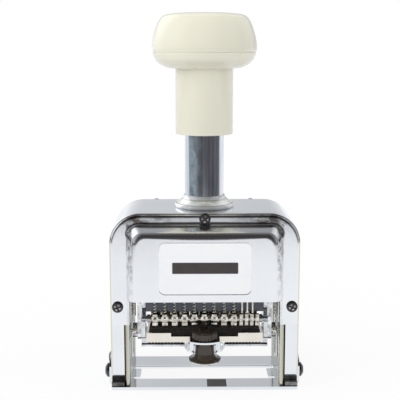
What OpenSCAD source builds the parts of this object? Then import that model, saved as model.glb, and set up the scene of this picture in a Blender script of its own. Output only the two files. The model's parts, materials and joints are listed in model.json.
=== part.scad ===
// Automatic numbering machine: a chrome arch on a base with a printing window, a
// sprung column with a mushroom handle, and a carriage with nine numbering wheels.
// Z is up, the front faces -Y, and the origin is under the middle of the base.

/* [Frame] */
// Width over the two legs
frame_w = 78; // [74:0.5:84]
// Depth of the arch, front edge to rear edge
frame_d = 36; // [36:0.5:40]
// Height of the top of the arch
frame_h = 75; // [73:0.5:80]
// Thickness of each leg
leg_t = 5.6; // [5:0.1:6]
// Thickness of the crown of the arch
crown_t = 5; // [4.6:0.1:6]
// Outer radius of the arch's corners
corner_r = 12.5; // [11:0.5:14]
// Rounding along the arch's outer edges
edge_r = 0.9; // [0.5:0.1:1.2]

/* [Base] */
// Thickness of the base plate
base_t = 1.3; // [1:0.1:1.6]
// How far the base plate reaches past the arch at the front and the rear
base_lip = 0.5; // [0:0.1:1.5]
// Width of the printing window
window_w = 61; // [58:0.5:62]
// Depth of the printing window, front to rear
window_d = 15.2; // [13:0.2:17]
// Thickness of the ears that hold the legs
ear_t = 1.3; // [1:0.1:1.6]
// Height of the ears
ear_h = 11.3; // [9.5:0.1:14]
// Length of the ears, front to rear
ear_len = 25; // [24:0.5:30]
// Thickness of the dark strips under the legs
strip_t = 1.9; // [1:0.1:2.2]

/* [Covers] */
// Thickness of the cover sheet
cover_t = 1; // [0.8:0.1:1.2]
// How far the covers stand back from the arch's outline
cover_inset = 0.9; // [0.6:0.1:1.4]
// How far the raised boxes stand out from the sheet
box_proud = 6.5; // [5:0.5:8]
// Width of the raised boxes where they leave the sheet
box_w = 63.8; // [62:0.2:65]
// Height of the lower edge of the raised boxes
box_bottom = 40; // [39:0.5:43]
// Width of the label
label_w = 37; // [28:0.5:44]
// Height of the label
label_h = 21; // [14:0.5:21.5]

/* [Column and handle] */
// Outer diameter of the column
column_d = 16.4; // [15.8:0.1:18]
// Wall of the column
column_wall = 2.2; // [1.8:0.1:2.2]
// Height of the column's collar above the arch
collar_h = 5.2; // [4:0.1:6]
// Diameter of the collar's foot
collar_d = 25; // [22:0.2:28]
// Outer diameter of the handle's neck
neck_d = 24; // [23:0.5:27]
// Largest diameter of the knob
knob_d = 43; // [38:0.5:46]
// Height of the handle, from the neck's lower edge to the top of the knob
handle_h = 49.6; // [49:0.2:56]
// Diameter of the plunger rod
rod_d = 6; // [5:0.1:6.4]

/* [Wheels] */
// Width of one wheel with its gap
wheel_pitch = 4.1; // [3.7:0.05:4.1]
// Radius of the wheels over the type
wheel_r = 11; // [10.2:0.1:11]
// Height of the wheel shaft above the table at rest
wheel_z = 35.3; // [35:0.1:36.5]
// Diameter of the wheel shaft
shaft_d = 4; // [3.6:0.1:4.4]

/* [Carriage and pad] */
// Thickness of the carriage plates and arms
plate_t = 1.6; // [1.2:0.1:1.6]
// Travel of the handle
stroke = 24; // [21:0.5:24]
// Angle that the ink pad swings forward over the whole travel
pad_swing = 90; // [82:1:90]
// Angle that the feed frame swings over the whole travel
feed_swing = 40; // [36:1:42]
// Thickness of the felt
felt_t = 2.6; // [1.6:0.1:2.8]
// Wire of the small detent springs
wire_d = 0.4; // [0.3:0.05:0.5]
// Diameter of the latch knob's lower disc
latch_d = 13.4; // [11:0.2:15]

/* [Hidden] */
$fn = 48;

// Clearances
run = 0.05;      // a shaft or pin in its hole, on the radius
slip = 0.3;      // two moving pieces side by side
slot_play = 0.2; // a follower in its slot, on the radius
eps = 0.01;      // makes a cut reach past a face

// Frame
front_y = -frame_d / 2;
inner_x = frame_w / 2 - leg_t;
inner_r = 7;
crown_z = frame_h - crown_t;
leg_z = base_t + strip_t;
foot_rise = 3.4;
foot_back = 2.2;

// Base
base_screw_y = 8;
base_screw_z = 5;
base_screw_r = 1.5;
window_y = -1;
tab_w = 6;
tab_reach = 2.8;
rim_w = 0.35;
rim_depth = 0.4;

// Guide plates on the inner faces of the legs
guide_t = 2.5;
guide_x = inner_x - guide_t;
guide_top = crown_z - inner_r - 1;
guide_back = 0.8;

// Covers
sheet_w = frame_w - 2 * cover_inset;
sheet_top = frame_h - cover_inset;
tab_bottom = box_bottom - 11.5;
tab_in = guide_x + 0.1;
box_top = frame_h - 4.3;
rear_box_top = frame_h - 8.3;
box_slope = 4.9;
box_bend = 2.4;
sheet_roll = 0.8 * cover_t;
face_top_w = box_w - 9.8;
face_low_w = box_w - 3.8;
cover_screw_r = 1.25;
cover_head_r = 2.3;
top_screw_z = frame_h - 2.4;
side_screw_x = inner_x + leg_t / 2;
side_screw_z = box_bottom - 4.3;
rear_screw_x = 21;
label_depth = 0.5;
label_z = (box_bottom + box_top - box_slope) / 2 + 0.9;

// Column, rod and handle
column_r = column_d / 2;
column_bore = column_r - column_wall;
rod_r = rod_d / 2;
neck_gap = 1.5;
neck_z = frame_h + collar_h + stroke + neck_gap;
knob_top = neck_z + handle_h;
knob_wall = 4.7;
bore_top = knob_top - knob_wall;
column_top = bore_top - stroke - 0.6;
rod_top = knob_top - 2;
seam_z = knob_top - 16.1;
bush_top = frame_h + 4;
cup_top = column_top - 1;
cup_t = 2;

// Lock button in the rear of the crown
lock_z = crown_z + crown_t / 2 - 0.3;
lock_r = 1.5;
lock_travel = 2;
lock_well = 6;
lock_well_r = 1.95;
lock_tip = rod_r + lock_travel + 0.2;
lock_head_r = 2.6;
lock_head_y = -front_y + cover_t + lock_travel + 0.3;

// Carriage, between the guide plates
plate_x = guide_x - 4.7;
arm_x = plate_x + 0.4;
arm_out = arm_x + plate_t;
side_x = plate_x - plate_t;
wheel_y = -1;
journal_r = shaft_d / 2 - 0.4;
pin_end = inner_x - 0.3;
bridge_t = 5;
bridge_top = crown_z - 5;
bridge_d = 18;
tie_r = 1.5;
tie_y = 7;
tie_z = bridge_top - 13;

// Wheels
wheel_count = 9;
stack_x = -side_x + 1.9;
type_w = 2.5;
body_r = wheel_r - 0.7;
ratchet_r = wheel_r - 1.2;
drum_r = wheel_r - 1.5;
drum_x = stack_x + wheel_count * wheel_pitch + 0.1;
drum_end = side_x - 1.9;

// Detents, in front of the wheels
detent_y = wheel_y - 13.4;
detent_z = wheel_z - 5.4;
detent_rod_r = 1.2;
detent_w = 2.9;
nose_gap = 0.25;
nose_angle = 50;
spring_y = detent_y - 1.2;
tail_top = detent_z + 2.2;
spring_low = tail_top + 0.4;
spring_len = 7.7;
spring_r = 0.6;
spring_curls = 6;
web_y = wheel_y - wheel_r - 1.6;
lever_count = 4;
lever_pitch = (drum_end - drum_x + 0.4) / lever_count;
lever_w = lever_pitch - 0.8;

// Feed frame, behind the wheels
feed_r = 17;
feed_bar_r = 1.5;
feed_rest = 60;
feed_pin_r = 9;
feed_pin_rest = 80;
pin_r = 1.3;

// Ink pad, swung about a pivot on the carriage
pivot_y = wheel_y - 8.5;
pivot_z = wheel_z + 6.7;
pivot_r = 2;
pad_pin_r = 5;
pad_pin_rest = -60;
pad_top = wheel_z - wheel_r - slip;
felt_low = pad_top - felt_t;
cassette_low = felt_low - 0.8;
tray_top = cassette_low - 0.1;
tray_t = 1;
tray_low = tray_top - tray_t;
tray_front = wheel_y - 11.2;
tray_rear = wheel_y + 5;
cassette_x = side_x;
strip_y = tray_front - 0.3;
strip_low = tray_low - 0.4;
strip_top = pad_top - 0.95;
latch_y = strip_y - 4.3;
latch_waist = 3.9;
bracket_top = tray_top + 1.4;
latch_low = bracket_top - 9.5;
dish_r = 8.8;
dish_y = latch_y + 7;
dish_top = bracket_top - 5.5;
dish_h = 1.4;
head_r = 5.3;
head_top = bracket_top + 3.3;

// Return spring round the rod
return_curls = 12;
return_wire = 1.2;
return_len = cup_top - cup_t - bush_top - 0.4;
return_r = (rod_r + column_bore) / 2;

// ---- Shared shapes ----

// Extrudes a shape drawn in X and Z from y0 to y1
module along_y(y0, y1) {
    translate([0, y1, 0])
    rotate([90, 0, 0])
    linear_extrude(y1 - y0)
    children();
}

// Extrudes a shape drawn in Y and Z from x0 to x1
module along_x(x0, x1) {
    translate([x0, 0, 0])
    rotate([90, 0, 90])
    linear_extrude(x1 - x0)
    children();
}

// Draws its children on the right, and their mirror image on the left
module both_sides() {
    children();
    mirror([1, 0, 0])
    children();
}

// Rectangle with round corners, centred
module round_rect(w, h, r) {
    square([w - 2 * r, h], center = true);
    square([w, h - 2 * r], center = true);
    for (sx = [-1, 1], sy = [-1, 1])
        translate([sx * (w / 2 - r), sy * (h / 2 - r)])
        circle(r);
}

// Rectangle with two round upper corners, from one height to another
module arch(w, low, top, r) {
    translate([-w / 2, low])
    square([w, top - r - low]);
    translate([-(w / 2 - r), low])
    square([w - 2 * r, top - low]);
    for (s = [-1, 1])
        translate([s * (w / 2 - r), top - r])
        circle(r);
}

// Straight bar with round ends between two points
module link(a, b, r) {
    d = b - a;
    n = [-d[1], d[0]] / norm(d) * r;
    polygon([a + n, b + n, b - n, a - n]);
    translate(a)
    circle(r);
    translate(b)
    circle(r);
}

// A disc with a hole, along X
module disc_x(x0, x1, r, hole, y, z) {
    along_x(x0, x1)
    translate([y, z])
    difference() {
        circle(r);
        circle(hole);
    }
}

// Pan-head screw, head up along Z from z = 0, with its cross recess
module pan_screw(head_r, head_h, shank_r, length) {
    difference() {
        union() {
            cylinder(r = head_r, h = head_h * 0.55);
            translate([0, 0, head_h * 0.55])
            cylinder(r1 = head_r, r2 = head_r * 0.6, h = head_h * 0.45, $fn = 48);
            translate([0, 0, -length])
            cylinder(r = shank_r, h = length + eps);
        }
        for (a = [45, 135])
            translate([0, 0, head_h])
            rotate(a)
            cube([head_r * 1.1, head_r * 0.26, head_h], center = true);
    }
}

// A ring of a coil's tube: six points round the centre line at one angle
function ring(r, wire, a, z) = [for (k = [0:5])
    let (c = wire / 2 * cos(60 * k))
    [(r + c) * cos(a), (r + c) * sin(a), z + wire / 2 * sin(60 * k)]];

// Coil spring as one unbroken tube, standing on z = 0
module coil(r, wire, length, curls) {
    steps = 8 * curls;
    rise = (length - wire) / steps;
    points = [for (i = [0:steps]) each ring(r, wire, 45 * i, wire / 2 + rise * i)];
    sides = [for (i = [0:steps - 1], k = [0:5])
        let (a = 6 * i + k, b = 6 * i + (k + 1) % 6)
        each [[a, a + 6, b], [b, a + 6, b + 6]]];
    first = [for (k = [1:4]) [0, k, k + 1]];
    last = [for (k = [1:4]) [6 * steps, 6 * steps + k + 1, 6 * steps + k]];
    polyhedron(points, concat(sides, first, last));
}

// Least gap of a coil to itself, from points a whole turn or more apart
function coil_point(r, rise, i) = [r * cos(45 * i), r * sin(45 * i), rise * i];
function coil_gap(r, wire, length, curls) =
    let (rise = (length - wire) / (8 * curls))
    min([for (i = [0:8], j = [i + 6:i + 10])
        norm(coil_point(r, rise, j) - coil_point(r, rise, i))]) - wire;

echo(detent_spring_gap = coil_gap(spring_r, wire_d, spring_len, spring_curls));
echo(return_spring_gap = coil_gap(return_r, return_wire, return_len, return_curls));

// Points of an arc in a plane, centre c, radius r, from angle a0 to a1
function arc(c, r, a0, a1, n) = [for (i = [0:n])
    let (a = a0 + (a1 - a0) * i / n)
    c + r * [cos(a), sin(a)]];

// A point at an angle from straight down, turning towards the front
function swung(y, z, r, a) = [y - r * sin(a), z - r * cos(a)];

// Centre lines of the two cam slots, from the top of the travel to the bottom
cam_steps = 20;
pad_path = [for (i = [0:cam_steps])
    let (t = i / cam_steps)
    swung(pivot_y, pivot_z - stroke * t, pad_pin_r, pad_pin_rest + pad_swing * t)];
feed_path = [for (i = [0:cam_steps])
    let (t = i / cam_steps, a = feed_pin_rest + feed_swing * t)
    [wheel_y + feed_pin_r * sin(a), wheel_z - stroke * t + feed_pin_r * cos(a)]];
shaft_path = [for (t = [0, 0.5, 1]) [wheel_y, wheel_z - stroke * t]];

// A slot of half-width r along a path, with round ends
function heading(p, i) = let (
    d = p[min(i + 1, len(p) - 1)] - p[max(i - 1, 0)])
    atan2(d[1], d[0]);
function beside(p, i, r, turn) = let (a = heading(p, i) + turn)
    p[i] + r * [cos(a), sin(a)];
module slot(p, r) {
    n = len(p) - 1;
    from = heading(p, 0);
    to = heading(p, n);
    polygon(concat(
        [for (i = [1:n - 1]) beside(p, i, r, 90)],
        arc(p[n], r, to + 90, to - 90, 12),
        [for (i = [n - 1:-1:1]) beside(p, i, r, -90)],
        arc(p[0], r, from - 90, from - 270, 12)));
}

// ---- Base ----

module base_frame() {
    color("silver")
    difference() {
        union() {
            linear_extrude(base_t)
            round_rect(frame_w, frame_d + 2 * base_lip, 1);
            both_sides()
            ear();
        }
        translate([0, window_y, -eps])
        linear_extrude(base_t + 2 * eps)
        window_shape();
        translate([0, window_y, base_t - rim_depth])
        linear_extrude(rim_depth + eps)
        round_rect(window_w + 2 * rim_w, window_d + 2 * rim_w, 1.5 + rim_w);
        both_sides()
        for (s = [-1, 1])
            translate([frame_w / 2 - 1, s * base_screw_y, base_screw_z])
            rotate([0, 90, 0])
            cylinder(r = base_screw_r + run, h = ear_t + 2);
    }
}

// One ear: bent up outside the leg, with round upper corners
module ear() {
    out = frame_w / 2 + ear_t;
    corner = 4;
    intersection() {
        along_y(-ear_len / 2, ear_len / 2)
        union() {
            translate([frame_w / 2, base_t])
            square([ear_t, ear_h - base_t]);
            translate([frame_w / 2 - 2, 0])
            square([2, base_t]);
            translate([out - base_t, base_t])
            intersection() {
                circle(base_t);
                translate([0, -base_t])
                square(base_t);
            }
            translate([frame_w / 2 - eps, 0])
            square([max(ear_t - base_t, 0) + eps, base_t]);
        }
        along_x(0, out + 1)
        translate([0, -corner])
        arch(ear_len, -ear_h, ear_h + corner, corner);
    }
}

// The printing window with an aligning tab at each end
module window_shape() {
    difference() {
        round_rect(window_w, window_d, 1.5);
        for (s = [-1, 1])
            translate([s * window_w / 2, 0])
            union() {
                square([2 * (tab_reach - tab_w / 2) + eps, tab_w], center = true);
                translate([-s * (tab_reach - tab_w / 2), 0])
                circle(tab_w / 2);
            }
    }
}

module foot_strips() {
    color([0.12, 0.12, 0.13])
    both_sides()
    translate([inner_x + 0.2, -(frame_d / 2 - 0.2), base_t])
    cube([leg_t - 0.3, frame_d - 0.4, strip_t]);
}

module base_screws() {
    color([0.12, 0.12, 0.13])
    both_sides()
    for (s = [-1, 1])
        translate([frame_w / 2 + ear_t, s * base_screw_y, base_screw_z])
        rotate([0, 90, 0])
        pan_screw(3, 2, base_screw_r, ear_t + leg_t - 1);
}

// ---- Arch ----

// Half section of the arch's band, by distance from the corner's centre and depth
module band_section() {
    difference() {
        translate([0, -frame_d / 2])
        square([corner_r, frame_d]);
        for (s = [-1, 1])
            translate([corner_r - edge_r, s * (frame_d / 2 - edge_r)])
            difference() {
                translate([0, s > 0 ? 0 : -edge_r - eps])
                square(edge_r + eps);
                circle(edge_r);
            }
    }
}

module outer_frame() {
    bend_x = frame_w / 2 - corner_r;
    bend_z = frame_h - corner_r;
    color("gainsboro")
    difference() {
        union() {
            both_sides() {
                translate([bend_x, 0, leg_z])
                linear_extrude(bend_z - leg_z)
                band_section();
                translate([bend_x, 0, bend_z])
                rotate([90, 0, 0])
                rotate_extrude(angle = 90, $fn = 96)
                band_section();
            }
            translate([bend_x, 0, bend_z])
            rotate([0, -90, 0])
            linear_extrude(2 * bend_x)
            band_section();
        }
        along_y(-frame_d, frame_d)
        arch(2 * inner_x, -1, crown_z, inner_r);
        foot_chamfer();
        translate([0, 0, crown_z - 1])
        cylinder(r = column_r + run, h = crown_t + 2);
        front_screw_holes(cover_screw_r, 9);
        mirror([0, 1, 0])
        rear_screw_holes(cover_screw_r, 9);
        translate([0, 0, lock_z])
        rotate([-90, 0, 0])
        cylinder(r = lock_r + 0.1, h = frame_d);
        translate([0, -front_y - lock_well, lock_z])
        rotate([-90, 0, 0])
        cylinder(r = lock_well_r, h = lock_well + 1);
        both_sides()
        for (s = [-1, 1])
            translate([inner_x + 1, s * base_screw_y, base_screw_z])
            rotate([0, 90, 0])
            cylinder(r = base_screw_r + run, h = leg_t);
    }
}

// Slanted cut along the lower front edge of the legs
module foot_chamfer() {
    along_x(-frame_w, frame_w)
    polygon([[front_y - 1, leg_z - 1], [front_y + foot_back, leg_z - 1],
        [front_y + foot_back, leg_z], [front_y + 0.7, leg_z + foot_rise - 1.1],
        [front_y, leg_z + foot_rise], [front_y - 1, leg_z + foot_rise]]);
}

// Screw places of the front cover, drilled from its face
module front_screw_holes(r, depth) {
    for (p = [[0, top_screw_z], [side_screw_x, side_screw_z],
              [-side_screw_x, side_screw_z]])
        translate([p[0], front_y - 2, p[1]])
        rotate([-90, 0, 0])
        cylinder(r = r, h = depth + 2);
}

// Screw places of the rear cover, in the same pose as the front one
module rear_screw_holes(r, depth) {
    for (p = [[rear_screw_x, top_screw_z], [-rear_screw_x, top_screw_z],
              [side_screw_x, side_screw_z], [-side_screw_x, side_screw_z]])
        translate([p[0], front_y - 2, p[1]])
        rotate([-90, 0, 0])
        cylinder(r = r, h = depth + 2);
}

// Guide plate on the inner face of the right leg, with the slots that the shaft,
// the pad's follower and the feed frame's follower run in
module guide_plate() {
    half = frame_d / 2 - guide_back;
    color("silver")
    difference() {
        translate([guide_x, 0, base_t])
        linear_extrude(guide_top - base_t)
        union() {
            translate([0, -half + guide_t / 2])
            square([guide_t, 2 * half - guide_t]);
            for (s = [-1, 1])
                translate([guide_t / 2, s * (half - guide_t / 2)])
                circle(guide_t / 2);
        }
        along_x(guide_x - 1, inner_x + 1)
        union() {
            slot(shaft_path, journal_r + slot_play);
            slot(pad_path, pin_r + slot_play);
            slot(feed_path, pin_r + slot_play);
        }
    }
}

module guide_plate_right() guide_plate();
module guide_plate_left() mirror([1, 0, 0]) guide_plate();

// ---- Covers ----

// Corners of the raised box at one depth, for a hull
module box_layer(y, low_w, top_w, low, top, r) {
    for (s = [-1, 1]) {
        along_y(y, y + eps)
        translate([s * (top_w / 2 - r), top - r])
        circle(r, $fn = 24);
        along_y(y, y + eps)
        translate([s * (low_w / 2 - 0.5) - 0.5, low])
        square(1);
    }
}

// The raised box's outside, shrunk by the sheet for its inside; the bend between
// its slopes and its face is round, from the slope's angle to the face
module box_form(top, shrink, low, back) {
    face_y = front_y - cover_t - box_proud + shrink;
    bend = box_bend - shrink;
    slope = atan2(box_proud, box_slope);
    in = bend * tan(slope / 2);
    hull() {
        box_layer(back, box_w - 2 * shrink, box_w - 2 * shrink, low, top - shrink, 5);
        box_layer(front_y - cover_t, box_w - 2 * shrink, box_w - 2 * shrink,
            low, top - shrink, 5);
        for (k = [0:3])
            let (a = slope * k / 3, out = bend * sin(a) - in - shrink)
            box_layer(face_y + bend * (1 - cos(a)), face_low_w + 2 * out,
                face_top_w + 2 * out, low, top - box_slope + out, 4 + out);
    }
}

// The sheet, with its outer edge rolled back at the front
module sheet_form() {
    hull()
    for (k = [0:3])
        let (a = 30 * k, out = sheet_roll * (1 - sin(a)))
        along_y(front_y - cover_t + sheet_roll * (1 - cos(a)), front_y)
        arch(sheet_w - 2 * out, tab_bottom, sheet_top - out, corner_r - cover_inset - out);
}

module cover_shell(top) {
    difference() {
        union() {
            difference() {
                sheet_form();
                along_y(front_y - cover_t - 1, front_y + 1)
                translate([-tab_in, tab_bottom - 1])
                square([2 * tab_in, box_bottom - tab_bottom + 1]);
            }
            box_form(top, 0, box_bottom, front_y - cover_t);
        }
        box_form(top, cover_t, box_bottom - 1, front_y + 1);
    }
}

module front_cover() {
    color("whitesmoke")
    difference() {
        cover_shell(box_top);
        front_screw_holes(cover_screw_r + 0.1, 6);
        along_y(front_y - cover_t - 3, front_y - cover_t)
        translate([0, top_screw_z])
        circle(cover_head_r + 0.15);
        along_y(front_y - cover_t - box_proud - 1, front_y - cover_t - box_proud + label_depth)
        translate([0, label_z])
        round_rect(label_w + 0.2, label_h + 0.2, 2.6);
    }
}

module label_plate() {
    face_y = front_y - cover_t - box_proud;
    color("white")
    along_y(face_y, face_y + label_depth)
    translate([0, label_z])
    round_rect(label_w, label_h, 2.5);
}

module front_cover_screws() {
    color([0.15, 0.15, 0.16])
    for (p = [[0, top_screw_z], [side_screw_x, side_screw_z],
              [-side_screw_x, side_screw_z]])
        translate([p[0], front_y - cover_t, p[1]])
        rotate([90, 0, 0])
        pan_screw(cover_head_r, 1.5, cover_screw_r - run, 6);
}

module rear_cover() {
    color("whitesmoke")
    mirror([0, 1, 0])
    difference() {
        cover_shell(rear_box_top);
        rear_screw_holes(cover_screw_r + 0.1, 6);
        translate([0, front_y + 1, lock_z])
        rotate([90, 0, 0])
        cylinder(r = lock_r + 0.1, h = cover_t + 2);
    }
}

module rear_cover_screws() {
    color([0.15, 0.15, 0.16])
    mirror([0, 1, 0])
    for (p = [[rear_screw_x, top_screw_z], [-rear_screw_x, top_screw_z],
              [side_screw_x, side_screw_z], [-side_screw_x, side_screw_z]])
        translate([p[0], front_y - cover_t, p[1]])
        rotate([90, 0, 0])
        pan_screw(cover_head_r, 1.5, cover_screw_r - run, 6);
}

// ---- Column ----

module column_tube() {
    color("silver")
    difference() {
        rotate_extrude()
        polygon([[column_bore, crown_z], [column_r, crown_z],
            [column_r, column_top - 0.6], [column_r - 0.6, column_top],
            [column_bore, column_top]]);
        translate([0, 0, lock_z])
        rotate([-90, 0, 0])
        cylinder(r = lock_r + 0.1, h = column_d);
    }
}

// Turned foot of the column: a thin rim and a flare up to the tube
module column_collar() {
    foot = collar_d / 2;
    tip = column_r + 0.25;
    rim = 0.8;
    color("silver")
    rotate_extrude()
    polygon(concat(
        [[column_r + run, frame_h], [foot - 0.25, frame_h], [foot, frame_h + 0.25],
         [foot, frame_h + rim - 0.2], [foot - 0.2, frame_h + rim]],
        [for (i = [0:10])
            let (t = i / 10)
            [tip + (foot - 0.7 - tip) * pow(1 - t, 0.85),
             frame_h + rim + (collar_h - rim) * t]],
        [[column_r + run, frame_h + collar_h]]));
}

// Flanged bush that guides the rod in the foot of the column
module guide_bush() {
    color("goldenrod")
    difference() {
        union() {
            translate([0, 0, crown_z])
            cylinder(r = column_bore - run, h = bush_top - crown_z);
            translate([0, 0, crown_z - 1.4])
            cylinder(r = column_r + 1, h = 1.4);
        }
        translate([0, 0, crown_z - 2])
        cylinder(r = rod_r + run, h = bush_top - crown_z + 3);
        translate([0, 0, lock_z])
        rotate([-90, 0, 0])
        cylinder(r = lock_r + 0.1, h = column_d);
    }
}

module return_spring() {
    color("dimgray")
    translate([0, 0, bush_top + 0.2])
    coil(return_r, return_wire, return_len, return_curls);
}

module lock_button() {
    color("silver")
    union() {
        translate([0, lock_tip, lock_z])
        rotate([-90, 0, 0])
        cylinder(r = lock_r, h = lock_head_y - lock_tip);
        translate([0, -front_y - 1.4, lock_z])
        rotate([-90, 0, 0])
        cylinder(r = lock_well_r - 0.15, h = 1);
        translate([0, lock_head_y, lock_z])
        rotate([-90, 0, 0])
        cylinder(r = lock_head_r, h = 2.2);
    }
}

module lock_spring() {
    color("dimgray")
    translate([0, -front_y - lock_well, lock_z])
    rotate([-90, 0, 0])
    difference() {
        cylinder(r = lock_well_r - 0.1, h = lock_well - 1.4 - lock_travel - 0.2);
        translate([0, 0, -1])
        cylinder(r = lock_r + 0.1, h = lock_well + 2);
    }
}

// ---- Handle ----

// Outer radius of the knob's lower half: a quarter round under the seam
module handle_body() {
    rim = knob_d / 2 - 0.2;
    under = seam_z - 5.8;
    color("cornsilk")
    rotate_extrude($fn = 96)
    polygon(concat(
        [[column_r + 0.1, neck_z], [neck_d / 2 - 0.3, neck_z], [neck_d / 2, neck_z + 0.3],
         [neck_d / 2, neck_z + 2.2], [neck_d / 2 - 0.15, neck_z + 2.4],
         [neck_d / 2 - 0.15, under - 0.6], [neck_d / 2 + 0.4, under]],
        [for (i = [1:14])
            let (a = -90 + 84 * i / 14)
            [rim - 5.2 + 5.2 * cos(a), under + 5.2 + 5.2 * sin(a)]],
        [[rim, seam_z - 0.4], [rim - 0.3, seam_z], [column_r + 0.1, seam_z]]));
}

// The dome: a side arc, a tight shoulder and a flat crown, tangent to each other
module knob_cap() {
    rim = knob_d / 2;
    side_r = 17.5;
    crown_r = 80;
    shoulder_r = 4;
    side_z = seam_z + 1;
    side_c = [rim - side_r, side_z];
    crown_c = [0, knob_top - crown_r];
    reach = crown_r - shoulder_r;
    span = side_r - shoulder_r;
    gap = side_c - crown_c;
    dist = norm(gap);
    turn = acos((reach * reach + dist * dist - span * span) / (2 * reach * dist));
    lean = atan2(gap[1], gap[0]);
    shoulder_c = crown_c + reach * [cos(lean - turn), sin(lean - turn)];
    to_side = shoulder_c - side_c;
    join_a = atan2(to_side[1], to_side[0]);
    color("cornsilk")
    rotate_extrude($fn = 96)
    polygon(concat(
        [[column_r + 0.1, seam_z], [rim - 0.5, seam_z], [rim - 0.2, seam_z + 0.3]],
        arc(side_c, side_r, -2, join_a, 14),
        arc(shoulder_c, shoulder_r, join_a, lean - turn, 12),
        arc(crown_c, crown_r, lean - turn, 90, 8),
        [[0, rod_top + 0.2], [rod_r + run, rod_top + 0.2], [rod_r + run, bore_top],
         [column_r + 0.1, bore_top]]));
}

module plunger_rod() {
    groove_z = lock_z + stroke;
    low = bridge_top - bridge_t + 0.4;
    color("silver")
    difference() {
        translate([0, 0, low])
        cylinder(r = rod_r, h = rod_top - low);
        translate([0, 0, groove_z - lock_r - 0.3])
        difference() {
            cylinder(r = rod_r + 1, h = 2 * lock_r + 0.6);
            translate([0, 0, -1])
            cylinder(r = rod_r - 0.8, h = 2 * lock_r + 3);
        }
    }
}

module spring_cup() {
    color("goldenrod")
    translate([0, 0, cup_top - cup_t])
    difference() {
        cylinder(r = column_bore - slip, h = cup_t);
        translate([0, 0, -1])
        cylinder(r = rod_r + run, h = cup_t + 2);
    }
}

// ---- Carriage ----

module carriage_bridge() {
    low = bridge_top - bridge_t;
    color("silver")
    difference() {
        translate([-side_x, -bridge_d / 2, low])
        cube([2 * side_x, bridge_d, bridge_t]);
        translate([0, 0, low - 1])
        cylinder(r = rod_r + run, h = bridge_t + 2);
        for (s = [-1, 1])
            translate([s * side_x * 0.58, 0, low - 1])
            linear_extrude(bridge_t + 2)
            round_rect(side_x * 0.5, bridge_d - 7, 3);
    }
}

// Outline of a carriage plate in Y and Z
module carriage_outline() {
    front = pivot_y - 5;
    rear = wheel_y + 11.5;
    low = wheel_z - 6.8;
    waist = wheel_z + 14;
    half = bridge_d / 2 + 0.5;
    polygon([[front + 4, low], [rear - 5, low], [rear, low + 5], [rear, waist - 3],
        [half, waist + 3], [half, bridge_top], [-half, bridge_top], [-half, waist + 3],
        [front, waist - 3], [front, low + 6]]);
}

module carriage_plate() {
    color("lightgray")
    along_x(side_x, plate_x)
    difference() {
        carriage_outline();
        translate([wheel_y, wheel_z])
        circle(journal_r + run);
        translate([pivot_y, pivot_z])
        circle(pivot_r - 0.5 + run);
        translate([detent_y, detent_z])
        circle(detent_rod_r - 0.2 + run);
        for (s = [-1, 1])
            translate([s * tie_y, tie_z])
            circle(tie_r - 0.4 + run);
        translate([0, bridge_top - 6.5])
        circle(3);
    }
}

module carriage_plate_right() carriage_plate();
module carriage_plate_left() mirror([1, 0, 0]) carriage_plate();

// Two spacer rods with thinner ends in the plates
module tie_rods() {
    color("silver")
    for (s = [-1, 1])
        stepped_rod(s * tie_y, tie_z, tie_r, tie_r - 0.4, side_x, plate_x);
}

// A rod along X with a shoulder at each inner face and thinner ends
module stepped_rod(y, z, r, end_r, shoulder, end) {
    along_x(-shoulder, shoulder)
    translate([y, z])
    circle(r);
    along_x(-end, end)
    translate([y, z])
    circle(end_r);
}

module wheel_shaft() {
    color("silver")
    stepped_rod(wheel_y, wheel_z, shaft_d / 2, journal_r, side_x, pin_end);
}

// Rod that the detents turn on, with a collar at each end of their row
module detent_rod() {
    color("silver")
    union() {
        stepped_rod(detent_y, detent_z, detent_rod_r, detent_rod_r - 0.2, side_x, plate_x);
        disc_x(stack_x - 1.2, stack_x - 0.1, 1.7, detent_rod_r - 0.1, detent_y, detent_z);
        disc_x(drum_end + 0.1, drum_end + 1.2, 1.7, detent_rod_r - 0.1, detent_y, detent_z);
    }
}

// Dark plate behind the detent springs, with the lip that they hang from
module spring_bar() {
    lip_z = spring_low + spring_len;
    color([0.28, 0.28, 0.3])
    along_x(-side_x, side_x)
    union() {
        translate([web_y, tail_top + 0.5])
        square([0.8, lip_z + 1.2 - tail_top - 0.5]);
        translate([spring_y - 1.6, lip_z])
        square([web_y - spring_y + 2, 1.2]);
    }
}

function wheel_x(i) = stack_x + wheel_pitch * (i + 0.5);

module detent_springs() {
    color("silver")
    for (i = [0:wheel_count - 1])
        translate([wheel_x(i), spring_y, spring_low])
        coil(spring_r, wire_d, spring_len, spring_curls);
}

function lever_x(i) = (drum_x + drum_end) / 2 + lever_pitch * (i - (lever_count - 1) / 2);

module repeat_wires() {
    color("silver")
    for (i = [0:lever_count - 2])
        translate([lever_x(i) + 0.3, spring_y, spring_low])
        cylinder(r = 0.4, h = spring_len);
}

// ---- Wheels ----

// Ten ratchet teeth: a steep face and a sloping back
module ratchet(r, teeth, depth) {
    polygon([for (i = [0:teeth - 1], k = [0:1])
        let (a = 360 / teeth * (i + 0.86 * k), q = k == 0 ? r - depth : r)
        q * [cos(a), sin(a)]]);
}

// One numbering wheel: type blocks on a drum, and its ratchet beside it
module wheel(i) {
    left = wheel_x(i) - wheel_pitch / 2 + 0.1;
    color("silver")
    translate([left, wheel_y, wheel_z])
    rotate([90, 0, 90])
    difference() {
        union() {
            cylinder(r = body_r, h = type_w);
            for (k = [0:9])
                rotate(36 * k - 90)
                translate([body_r - 1, -2.3, 0])
                cube([0.9 + wheel_r - body_r, 4.6, type_w]);
            translate([0, 0, type_w - eps])
            linear_extrude(wheel_pitch - 0.2 - type_w)
            ratchet(ratchet_r, 10, 1.8);
        }
        translate([0, 0, -1])
        cylinder(r = shaft_d / 2 + run, h = wheel_pitch + 2);
    }
}

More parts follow.
